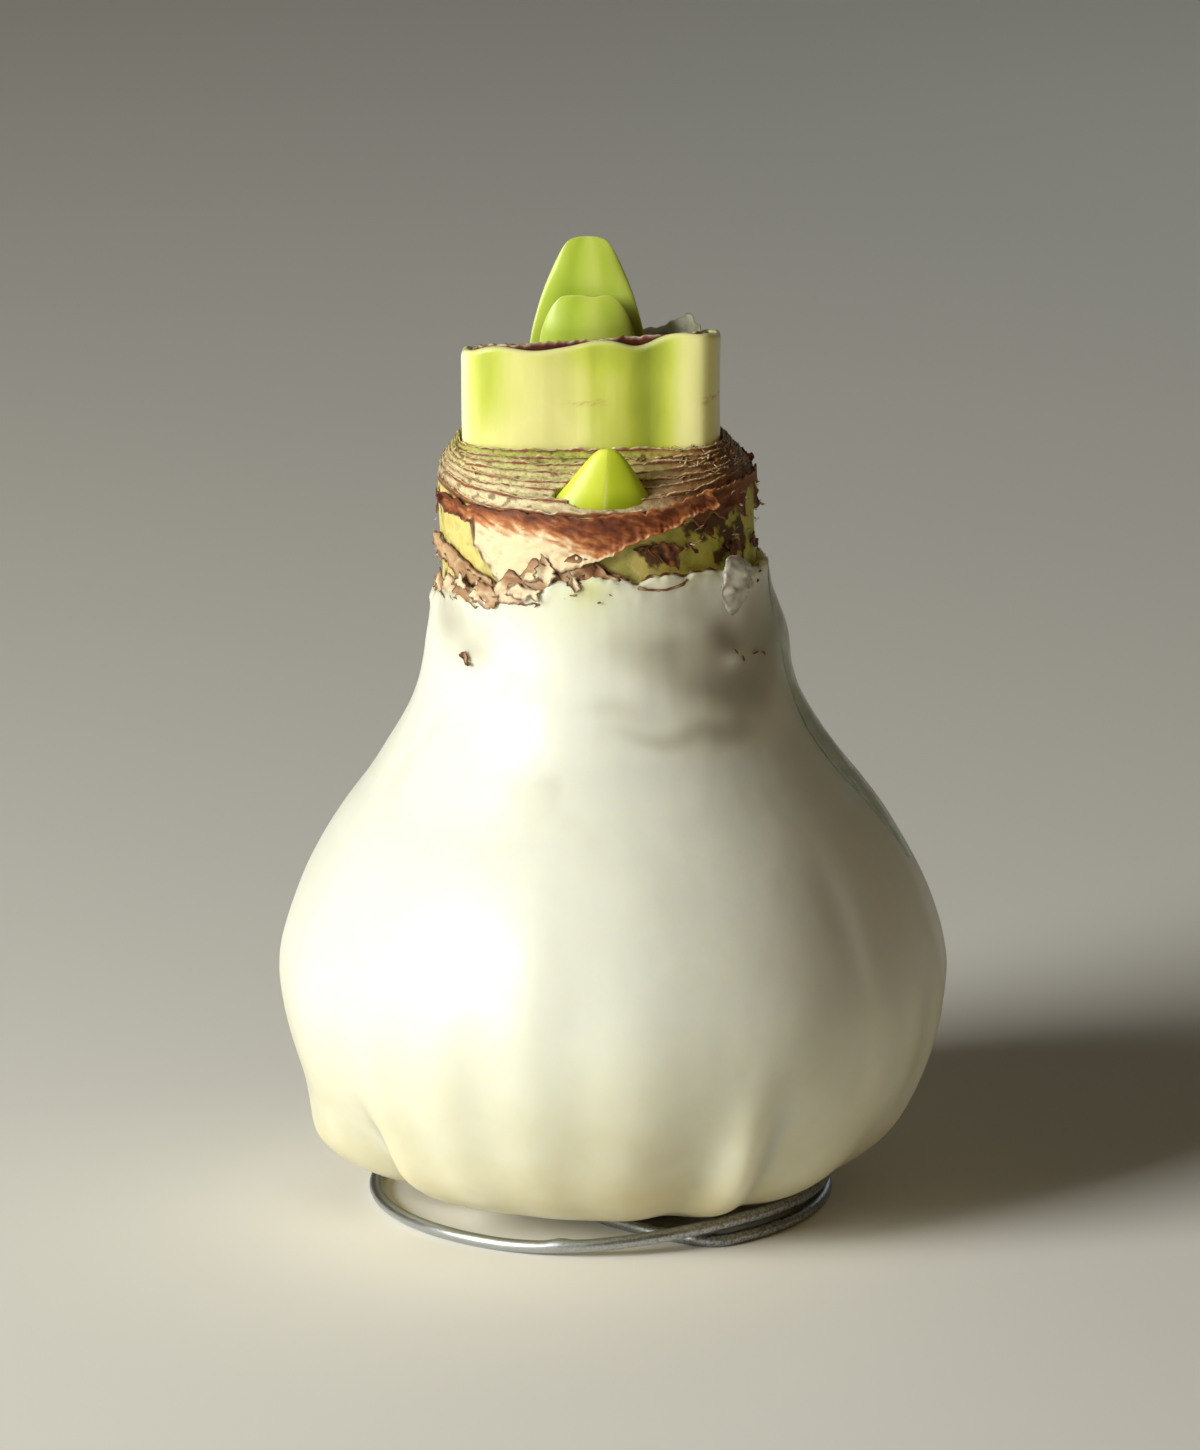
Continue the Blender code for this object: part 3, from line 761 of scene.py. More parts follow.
@dataclass
class DippedForm:
    """The form that the wax and the bulb share: turned outline, folds, lean and rim."""

    outline: tuple[tuple[float, float], ...] = (
        (25.8, 101.0), (25.9, 96.0), (26.95, 90.0), (29.5, 80.0), (35.4, 70.0), (42.6, 60.0),
        (48.0, 50.0), (51.1, 40.0), (51.4, 33.0), (49.7, 25.0), (46.3, 17.5), (41.8, 11.0),
        (35.6, 6.2), (28.0, 3.8), (18.0, 2.6), (9.0, 3.6), (0.0, 5.4),
    )
    neck_radius: float = 24.05
    rim_radius: float = 27.0
    rim_level: float = 101.0
    belly_height: float = 50.0
    lean_start: float = 66.0
    lean_top: float = 114.0
    neck_lean: float = -2.8
    rim: Edge = (
        (0, 101.5), (60, 98.0), (120, 96.5), (180, 96.1), (206, 99.0), (219, 99.0),
        (238, 100.0), (246, 101.1), (254, 102.9), (268, 104.4), (276, 104.2), (284, 103.0),
        (288, 104.2), (296, 104.5), (302, 103.8), (312, 103.9), (317, 103.4), (334, 101.8),
        (360, 101.5),
    )
    folds: Bells = (
        (190, 14, 9, 8, 4.6), (211, 6, 6, 12, -3.0), (229, 12, 8, 8, 1.4),
        (285, 7, 8, 11, -2.0), (296, 6, 9, 10, 1.6), (306, 6, 10, 13, -1.8),
        (318, 8, 12, 9, 0.9), (333, 7, 10, 9, -1.3), (350, 8, 13, 7, 0.7),
        (12, 7, 9, 10, -1.6), (40, 10, 9, 9, 0.8), (62, 7, 6, 11, -2.4),
        (84, 10, 10, 8, 0.8), (112, 8, 8, 10, -1.8), (136, 10, 10, 9, 1.3),
        (160, 7, 7, 11, -2.2), (321, 8, 101, 5, 1.5), (309, 9, 91, 4, 0.9),
        (2, 10, 91, 6, 0.8), (270, 60, 84, 3.5, -0.35), (300, 40, 76, 3.5, -0.5),
    )

    def lean(self, z: Array) -> Array:
        """How far the axis is off X = 0 at that height."""
        share = np.clip((z - self.lean_start) / (self.lean_top - self.lean_start), 0.0, 1.0)
        return self.neck_lean * share ** 0.8

    def swelling(self, degrees: Array, z: Array) -> Array:
        """How far the surface stands out from the turned outline.

        Args:
            degrees: angles round the axis.
            z: heights, in millimetres.
        Returns:
            Millimetres, below 0 in a hollow.
        """
        phi = np.radians(degrees)
        ribs = 0.3 * np.sin(17 * phi + 2 * np.sin(3 * phi)) * bell(z, 26, 24)
        return bells(self.folds, degrees, z) + ribs

    def rim_height(self, degrees: Array) -> Array:
        """Height of the wax's ragged edge.

        Args:
            degrees: angles round the axis.
        Returns:
            The heights, in millimetres.
        """
        phi = np.radians(degrees)
        around = xyz(self.rim_radius * np.cos(phi), self.rim_radius * np.sin(phi), 0.0)
        ragged = 0.9 * grain(around, 4.5, 3.0, 2) + 0.5 * grain(around, 1.3, 5.0, 2)
        return follow(self.rim, np.mod(degrees, 360.0)) + ragged

    def on_wax(self, degrees: Array, z: Array, lift: Array | float) -> Array:
        """Points that far outside the coat of wax, above the belly."""
        outer = smooth_curve(list(self.outline), 400)
        return self.at(self.shoulder(z, outer) + lift, degrees, z)

    def shoulder(self, z: Array, outline: Array) -> Array:
        """Radius of the outline at that height, above the belly."""
        top = outline[outline[:, 1] > self.belly_height]
        return np.interp(z, top[::-1, 1], top[::-1, 0])

    def at(self, radius: Array, degrees: Array, z: Array) -> Array:
        """Points of the dipped surface, with its folds and its lean.

        Args:
            radius: distances of the turned outline from the axis.
            degrees: angles round the axis.
            z: heights, in millimetres.
        Returns:
            The points, in millimetres.
        """
        shown = radius + self.swelling(degrees, z) * smoothstep(6.0, 34.0, radius)
        phi = np.radians(degrees)
        return xyz(self.lean(z) + shown * np.cos(phi), shown * np.sin(phi), z)

    def neck(self, degrees: Array, z: Array, lift: Array | float) -> Array:
        """Points that far outside the bare neck.

        Args:
            degrees: angles round the axis.
            z: heights, in millimetres.
            lift: how far outside the surface.
        Returns:
            The points, in millimetres.
        """
        phi = np.radians(degrees)
        radius = self.neck_radius + self.swelling(degrees, z) + lift
        return xyz(self.lean(z) + radius * np.cos(phi), radius * np.sin(phi), z)


@dataclass
class WaxCoat:
    """The coat of wax, with its ragged rim, its folds and the places where it is thin."""

    form: DippedForm
    columns: int = 400
    outer_rows: int = 200
    inner_rows: int = 24
    thickness: float = 1.3
    bore: float = 1.3
    rim_zone_foot: float = 88.0
    thin_places: Bells = (
        (308, 12, 88.0, 3.6, 1.5), (296, 11, 91.8, 2.4, 0.7), (318, 12, 93.0, 3.2, 0.9),
        (326, 13, 86.6, 3.8, 0.9), (341, 12, 88.5, 4.5, 0.8), (284, 12, 94.6, 2.2, 0.22),
        (289, 15, 80.4, 1.7, 0.5), (305, 10, 79.4, 2.2, 0.6), (274, 10, 84.4, 1.8, 0.25),
        (314, 12, 83.0, 2.6, 0.4), (334, 12, 97.0, 3.4, 0.45), (300, 10, 98.4, 2.0, 0.15),
        (206, 9, 95.0, 5.5, 0.6), (221, 8, 92.6, 3.4, 0.4), (352, 12, 94.0, 6.0, 0.6),
        (60, 22, 91.0, 5.0, 0.35), (110, 18, 84.0, 3.6, 0.25),
    )
    pale_places: Bells = (
        (315, 5, 90.4, 1.3, 0.9), (322, 6, 96.0, 3.0, 0.3),
    )
    extra_folds: Bells = (
        (218, 3.2, 13, 7, -2.3), (213, 3.0, 6, 4, -1.3), (225, 4.5, 12, 8, 1.3),
        (302, 3.2, 18, 9, -1.1), (295, 3.6, 18, 9, 1.0), (288, 4.0, 11, 8, -0.9),
        (318, 5, 52, 9, -0.35), (329, 3.5, 38, 16, -0.3), (322, 3, 36, 16, 0.25),
        (336, 3, 34, 14, 0.2), (343, 3.4, 30, 14, -0.35), (262, 9, 7, 3.0, -0.5),
        (250, 14, 4.6, 1.2, 0.5),
    )
    lumps: Bells = ((316, 5, 90.4, 1.3, 0.5), (351, 6, 91.0, 3.2, 0.4))
    drop_angle: float = 319.0
    drop_top: float = 105.9
    drop_length: float = 9.3
    drop_half_width: float = 3.1
    drop_mm_per_degree: float = 0.45
    drop_widths: Edge = (
        (0.0, 0.01), (0.03, 0.42), (0.12, 0.6), (0.25, 0.9), (0.4, 1.0), (0.55, 0.95),
        (0.7, 0.7), (0.85, 0.46), (0.95, 0.26), (1.0, 0.01),
    )
    run_angle: float = 360.0
    run_top: float = 100.4
    run_length: float = 46.0
    run_half_width: float = 4.6
    run_mm_per_degree: float = 0.48

    def skin(self, rows: int, depth: float) -> tuple[Array, Array, Array]:
        """Points of the coat that far inside its outer face, with their angles and heights.

        Args:
            rows: how many rows.
            depth: how far inside the outer face.
        Returns:
            The points, their angles and their heights.
        """
        outer = smooth_curve(list(self.form.outline), 400)
        outline = smooth_curve(list(self.form.outline), rows)
        outline = inset(outline, depth) if depth else outline
        outline[-1, 0] = self.bore
        degrees = full_turn(self.columns)
        radius, z = outline[:, :1], outline[:, 1:]
        stretch = smoothstep(self.rim_zone_foot, self.form.rim_level, z)
        level = z + stretch * (self.form.rim_height(degrees) - self.form.rim_level)
        narrower = self.form.shoulder(level, outer) - self.form.shoulder(z, outer)
        radius = radius + narrower * (z > self.form.belly_height)
        return self.form.at(radius, degrees, level), degrees + 0 * level, level

    def relief(self, points: Array, degrees: Array, level: Array) -> Array:
        """Ripples, creases, run marks and the crumbled rim, square to the surface.

        Args:
            points: the surface's points.
            degrees: angles round the axis.
            level: heights, in millimetres.
        Returns:
            Millimetres outwards.
        """
        wave = 0.16 * grain(points, 13.0, 1.0) + 0.05 * grain(points, 3.5, 2.0)
        wave = wave + bells(self.extra_folds + self.lumps, degrees, level)
        below = self.form.rim_height(degrees) - level
        wave = wave + 0.26 * smoothstep(5.0, 0.0, below) * grain(points, 2.4, 3.0, 3)
        wave = wave + 0.35 * bell(below, 1.2, 0.9) * (0.6 + grain(points, 5.0, 6.0))
        run = grain(xyz(degrees * 0.45, 0.0, level * 0.12), 2.2, 9.0, 2)
        wave = wave + 0.02 * run * smoothstep(64, 84, level)
        return wave * smoothstep(3.0, 12.0, level)

    def build(self) -> bpy.types.Object:
        """Makes the coat as one closed skin.

        Returns:
            The object.
        """
        outer, degrees, level = self.skin(self.outer_rows, 0.0)
        inner, inner_degrees, inner_level = self.skin(self.inner_rows, self.thickness)
        centre = xyz(self.form.lean(level), 0.0, level)
        out = (outer - centre) / np.linalg.norm(outer - centre, axis=-1, keepdims=True)
        outer = outer + out * self.relief(outer, degrees, level)[..., None]
        points = np.concatenate([outer, inner[::-1]])
        angle = np.concatenate([degrees, inner_degrees[::-1]])
        height = np.concatenate([level, inner_level[::-1]])
        made = Loft(points, self.tints(points, angle, height), close_rows=True)
        return made.build("wax_coat_dipped")

    def tints(self, points: Array, degrees: Array, z: Array) -> dict[str, Array]:
        """Where the coat is thin, where green shows through it, partly as painted shade under the
        front rim, and where it set clear, partly as a painted glow at the right edge.

        Args:
            points: the surface's points.
            degrees: angles round the axis.
            z: heights, in millimetres.
        Returns:
            The named layers that the wax's finish reads.
        """
        cloud = 0.95 + 0.55 * grain(points * np.array([1.0, 1.0, 1.6]), 12.0, 5.0, 2)
        drift = degrees + 9.0 * grain(points, 12.0, 41.0)
        sag = z + 2.2 * grain(points, 9.0, 43.0)
        thin = bells(self.thin_places, drift, sag) * np.clip(cloud, 0.2, 1.3)
        thin = thin - bells(self.pale_places, degrees, z)
        thin = thin + 0.25 * smoothstep(0.25, 0.7, grain(points, 16.0, 15.0, 3)) \
            * smoothstep(60, 80, z)
        thin = 0.85 * (1 - np.exp(-1.3 * np.clip(thin, 0, None)))
        # Green shows through near the rim; the narrow band under the front rim is partly painted
        # shade below the rim's lip.
        green = 0.45 * angle_bell(degrees, 258, 26) * bell(z, 101.0, 6.0)
        green = green + 0.6 * angle_bell(drift, 268, 7) * bell(z, 102.6, 2.2)
        green = green * np.clip(cloud, 0.3, 1)
        edge = 0.4 * smoothstep(1.6, 0.2, self.form.rim_height(degrees) - z)
        # The aqua tint on the right is partly clear wax and partly a painted glow of light through
        # the wax's edge.
        clear = 0.4 * angle_bell(degrees, 348, 7) * smoothstep(54, 70, z)
        clear = clear * np.clip(cloud, 0.3, 1.0) * smoothstep(100, 92, z)
        return {"thin": thin, "green": np.clip(np.maximum(green, edge), 0, 1),
                "clear": np.clip(clear, 0, 0.8)}

    def chip(self) -> bpy.types.Object:
        """The clear shard of wax that hangs from the rim, front right.

        Returns:
            The object.
        """
        turn = np.radians(full_turn(56))
        down = np.linspace(0, 1, 60)[:, None]
        wide = follow(self.drop_widths, down)
        across = self.drop_half_width * wide * np.cos(turn) + 0.6 * np.sin(down * 5.0)
        z = self.drop_top - self.drop_length * down + 0.4 * np.sin(3 * turn + 4 * down) * wide
        degrees = self.drop_angle + across / self.drop_mm_per_degree
        lift = 0.75 + 1.15 * wide * np.sin(turn)
        flat = self.form.on_wax(degrees, z, lift)
        facets = np.abs(grain(flat, 2.8, 21.0)) + 0.25 * np.abs(grain(flat, 1.2, 22.0))
        points = self.form.on_wax(degrees, z, lift + 1.4 * (facets - 0.2) * wide)
        return outward(Loft(points, cap_first=True, cap_last=True).build("clear_wax_drop"))

    def run(self) -> bpy.types.Object:
        """The thin clear run of wax down the right side.

        Returns:
            The object.
        """
        turn = np.radians(full_turn(28))
        down = np.linspace(0, 1, 120)[:, None]
        z = self.run_top - self.run_length * down + 0 * turn
        wide = np.sin(math.pi * np.clip(down, 0.004, 0.996)) ** 0.45
        bulge = 1.0 + 0.25 * bell(z, 91, 5) - 0.35 * smoothstep(80, 58, z)
        across = self.run_half_width * wide * bulge * np.cos(turn) + 0.6 * np.sin(z * 0.16)
        degrees = self.run_angle - 4.0 * smoothstep(90, 72, z) + across / self.run_mm_per_degree
        lift = 0.1 + (0.5 + 0.25 * bell(z, 91, 4)) * wide * np.sin(turn)
        lumps = 0.12 * grain(self.form.on_wax(degrees, z, lift), 5.0, 23.0, 2)
        points = self.form.on_wax(degrees, z, lift + lumps)
        return outward(Loft(points, cap_first=True, cap_last=True).build("clear_wax_run"))


@dataclass
class ScaleRings:
    """The cut face of the neck and its scale ends, and the bulb below it."""

    form: DippedForm
    columns: int = 420
    face_rows: int = 130
    wall_rows: int = 46
    neck_top: float = 114.0
    back_rise: float = 2.2
    rings_top: float = 120.4
    pocket_floor: float = 106.0
    edge_rounding: float = 0.9
    wall_foot: float = 92.0
    body_top: float = 90.0
    body_inset: float = 1.75
    socket_top: float = 23.0
    bud_hole_depth: float = 6.5
    gap: float = 0.3
    rings: tuple[float, ...] = (0.05, 0.19, 0.28, 0.42, 0.57, 0.70, 0.84, 0.975)
    crumb_count: int = 260
    stuck_scraps: Bells = (
        (292, 5, 107.0, 2.2, 1.3), (300, 4, 105.0, 2.0, 1.2), (284, 4, 108.0, 0.8, 0.9),
        (312, 14, 110.8, 2.4, 1.5), (328, 8, 108.5, 3.6, 1.3), (337, 4, 106.0, 3.0, 1.1),
        (20, 20, 108, 6, 1.0), (90, 30, 108, 5, 0.9), (150, 18, 107, 5, 0.9),
        (186, 4, 112, 1.5, 0.8), (318, 8, 105.0, 1.4, 1.0), (270, 3, 104.8, 0.7, 0.8),
    )
    sheath: "NeckSheath | None" = None
    bud: "FrontBud | None" = None

    def rim(self, degrees: Array) -> Array:
        """Height of the neck's outer cut edge: low at the front, higher right and behind."""
        level = self.neck_top + self.back_rise * (0.5 + 0.5 * np.sin(np.radians(degrees)))
        return level + ridges(((333, 24, 1.5), (198, 14, 0.5)), degrees)

    def ring_at(self, k: int, degrees: Array) -> Array:
        """Where the k-th scale's edge runs, as a share from the pocket to the rim.

        Args:
            k: the ring's number, from the inside.
            degrees: angles round the axis.
        Returns:
            The shares, one for each angle.
        """
        phi = np.radians(degrees)
        around = xyz(np.cos(phi) * 3, np.sin(phi) * 3, 9.0 * k)
        wander = 0.028 * grain(around, 2.4, k) + 0.006 * grain(around, 0.25, k, 2)
        return np.clip(self.rings[k] + wander, 0.0, 0.985)

    def slope(self, share: Array, degrees: Array) -> Array:
        """Height of the cut face before its relief.

        Args:
            share: places from the pocket, 0, to the neck's edge, 1.
            degrees: angles round the axis.
        Returns:
            The heights, in millimetres.
        """
        rim = self.rim(degrees)
        rounded = self.edge_rounding * smoothstep(0.8, 1.0, share)
        return rim + (self.rings_top - rim) * (1.0 - share) ** 0.9 - rounded

    def spot(self, share: Array, degrees: Array) -> tuple[Array, Array, Array]:
        """Place on the cut face: x, y and the face's width there.

        Args:
            share: places from the pocket, 0, to the neck's edge, 1.
            degrees: angles round the axis.
        Returns:
            x, y and the width.
        """
        phi = np.radians(degrees)
        inner_x, inner_y = self.sheath.section(degrees, -self.gap)
        inner_x = inner_x + self.sheath.x
        top = np.full(np.shape(phi), self.neck_top)
        outer_x = self.form.lean(top) + self.form.neck_radius * np.cos(phi)
        outer_y = self.form.neck_radius * np.sin(phi)
        x = inner_x + (outer_x - inner_x) * share
        y = inner_y + (outer_y - inner_y) * share
        return x, y, np.hypot(outer_x - inner_x, outer_y - inner_y)

    def bud_hole(self, x: Array, y: Array) -> Array:
        """1 inside the hole that the bud comes up through, 0 outside it.

        Args:
            x: places to the right, in millimetres.
            y: places to the back, in millimetres.
        Returns:
            The values.
        """
        inside = ((x - self.bud.x) / (self.bud.half_width - 0.9)) ** 2 \
            + ((y - self.bud.y) / (self.bud.half_width * self.bud.depth_share + 0.1)) ** 2
        return smoothstep(1.04, 0.9, inside)

    def pocket(self, degrees: Array) -> tuple[Array, dict[str, Array]]:
        """The floor and the foot of the pocket that the green leaf base stands in.

        Args:
            degrees: angles round the axis.
        Returns:
            The points and their layers.
        """
        share = np.array([[0.02], [0.5], [1.0]])
        x, y = self.sheath.section(degrees, -self.gap)
        return xyz(self.sheath.x + x * share, y * share, self.pocket_floor), {}

    def cut_face(self, degrees: Array) -> tuple[Array, dict[str, Array]]:
        """The cut face with its rings, from the pocket out to the neck's edge.

        Args:
            degrees: angles round the axis.
        Returns:
            The points and their layers.
        """
        share = np.linspace(0, 1, self.face_rows)[:, None] + 0 * degrees
        x, y, width = self.spot(share, degrees + 0 * share)
        line = np.zeros(share.shape)
        relief = np.zeros(share.shape)
        for k in range(len(self.rings)):
            away = (share - self.ring_at(k, degrees)) * width
            # The lines widen round 330 degrees: painted shade in the gaps between the scale ends
            # on the right.
            line = np.maximum(line, bell(away, 0, 0.17 + 0.2 * angle_bell(degrees, 330, 34)))
            relief = relief + 0.3 * bell(away, 0, 0.3) - 0.2 * bell(away, 0.6, 0.5) * (width > 6)
        points = xyz(x, y, self.slope(share, degrees) + relief)
        rough = grain(points, 1.1, 4.0, 4)
        hole = self.bud_hole_depth * self.bud_hole(x, y) * (share < 0.965)
        points[..., 2] += 0.16 * rough - hole
        parched = ridges(((330, 36, 1.3), (195, 16, 0.3)), degrees)
        parched = parched + 0.5 * smoothstep(0.0, 0.6, np.sin(np.radians(degrees))) + 0.35 * rough
        parched = np.clip(parched + 0.25 * smoothstep(0.5, 1.0, share), 0, 1)
        line = np.clip(line * (0.72 + 0.6 * grain(points, 2.0, 17.0)), 0, 0.9)
        nick = smoothstep(0.44, 0.58, grain(points, 1.7, 14.0, 2))
        return points, {"share": share, "line": line, "blotch": 0.7 * nick, "parched": parched}

    def bare_wall(self, degrees: Array) -> tuple[Array, dict[str, Array]]:
        """The neck's bare side, from the cut edge down to under the wax.

        Args:
            degrees: angles round the axis.
        Returns:
            The points and their layers.
        """
        step = np.linspace(0, 1, self.wall_rows + 1)[1:, None]
        top = self.rim(degrees) - self.edge_rounding
        level = top + (self.wall_foot - top) * step
        lump = 0.18 * grain(self.form.neck(degrees, level, 0.0), 5.0, 6.0, 2)
        points = self.form.neck(degrees, level, lump - 0.5 * smoothstep(0.06, 0.0, step))
        olive = 0.75 * smoothstep(276, 312, degrees) * smoothstep(372, 350, degrees)
        edge = 0.8 * smoothstep(0.05, 0.0, step)
        return points, {"share": 1.0, "line": edge, "wall": 1.0 - 0.3 * edge, "olive": olive,
                        "blotch": self.blotches(degrees, level, points)}

    def body(self, degrees: Array) -> tuple[Array, dict[str, Array]]:
        """The body inside the wax, with the hole that the spike goes into.

        Args:
            degrees: angles round the axis.
        Returns:
            The points and their layers.
        """
        hidden = inset(smooth_curve(list(self.form.outline), 40), self.body_inset)
        hidden = hidden[hidden[:, 1] < self.body_top]
        hidden[-1, 0] = self.gap + 1.0
        phi = np.radians(degrees)
        radius = np.array([[self.gap + 1.0], [0.1]])
        socket = xyz(radius * np.cos(phi), radius * np.sin(phi), self.socket_top)
        around = self.form.at(hidden[:, :1], degrees, hidden[:, 1:])
        return np.concatenate([around, socket]), {"share": 1.0, "wall": 1.0}

    def build(self) -> bpy.types.Object:
        """Makes the bulb as one closed body.

        Returns:
            The object.
        """
        degrees = full_turn(self.columns)
        parts = (self.pocket(degrees), self.cut_face(degrees), self.bare_wall(degrees),
                 self.body(degrees))
        values = {key: np.concatenate([np.broadcast_to(layers.get(key, 0.0), points.shape[:2])
                                       for points, layers in parts])
                  for key in ("share", "line", "wall", "olive", "blotch", "parched")}
        every = np.concatenate([points for points, _layers in parts])
        return Loft(every, values, cap_first=True, cap_last=True).build("bulb_grown")

    def blotches(self, degrees: Array, z: Array, points: Array) -> Array:
        """Dark scraps of skin that still stick to the bare wall on the right."""
        torn = 0.55 + 0.8 * grain(points, 2.6, 8.0, 3)
        return smoothstep(0.4, 0.52, bells(self.stuck_scraps, degrees, z) * torn) * 0.95

    def edges(self) -> bpy.types.Object:
        """The thin brown papery lip that stands up along each scale's end, with a pale top that is
        partly a painted highlight.

        Returns:
            The object.
        """
        bundle = Bundle()
        degrees = np.linspace(0, 360, 800, endpoint=False)
        for k in range(len(self.rings)):
            share = self.ring_at(k, degrees)
            x, y, width = self.spot(share, degrees)
            base = self.slope(share, degrees)
            last = k == len(self.rings) - 1
            if not last:
                base = base - 3.0 * self.bud_hole(x, y)
            around = xyz(x, y, 3.0 * k)
            tall = 0.42 + 0.55 * grain(around, 3.5, 11.0 + k, 2)
            tall = tall + 0.75 * last * angle_bell(degrees, 272, 16)
            tall = np.clip(tall, 0.12, 1.5) + 0.16 * grain(around, 0.55, 20.0 + k, 2)
            away_x, away_y = np.array([x - self.sheath.x, y]) / np.hypot(x - self.sheath.x, y)
            half = np.minimum(0.14, width * 0.01)
            flare = 0.22 * grain(around, 4.0, 30.0 + k) + 0.08 * grain(around, 0.8, 33.0, 2)
            # The pale tops are partly bleached paper and partly a painted highlight along the
            # upper edge.
            pale = np.clip(0.75 + 0.9 * grain(around, 1.5, 40.0 + k, 2), 0, 1)
            loop, torn = [], []
            for side, lift, lean_out in ((-1, -0.6, 0), (-1, 0.55, 0.4), (-0.5, 1.0, 1),
                                         (0.5, 1.0, 1), (1, 0.55, 0.4), (1, -0.6, 0)):
                shift = half * side + flare * lean_out
                z = base + (lift * np.maximum(tall, 0.05) if lift > 0 else lift)
                loop.append(xyz(x + away_x * shift, y + away_y * shift, z))
                torn.append(pale * (lift == 1.0) * 0.9)
            bundle.add(np.stack(loop), True, True, lip=np.stack(torn), bleach=np.array(0.32))
        return bundle.build("scale_edges")

    def crumbs(self) -> bpy.types.Object:
        """Frayed slivers of dry scale along the cut edges, most of them on the right.

        Returns:
            The object.
        """
        bundle = Bundle()
        draw = np.random.default_rng(5)
        for _ in range(self.crumb_count):
            k = int(draw.integers(0, len(self.rings)))
            right = draw.random() < 0.5
            degrees = np.array([draw.normal(328, 20) if right else draw.uniform(0, 360)])
            share = np.clip(self.ring_at(k, degrees) + draw.normal(0, 0.025), 0.02, 0.985)
            x, y, _width = self.spot(share, degrees)
            if self.bud_hole(x, y)[0] > 0.01:
                continue
            up = unit(np.array([draw.normal(0, 0.25), draw.normal(0, 0.25), 1.0]))
            turn = math.radians(float(degrees[0])) + math.pi / 2 + draw.normal(0, 0.35)
            along = np.array([math.cos(turn), math.sin(turn), draw.normal(0, 0.12)])
            along = unit(along - up * np.dot(along, up))
            size = (draw.uniform(0.6, 2.6), draw.uniform(0.15, 0.55), 0.12)
            z = self.slope(share, degrees)[0] + draw.uniform(0.1, 0.45)
            bundle.sliver(np.array([x[0], y[0], z]), along, up, size, draw.uniform(-0.1, 0.5),
                          bleach=draw.uniform(0.0, 0.9), lip=draw.uniform(0.0, 0.5))
        return bundle.build("scale_crumbs")


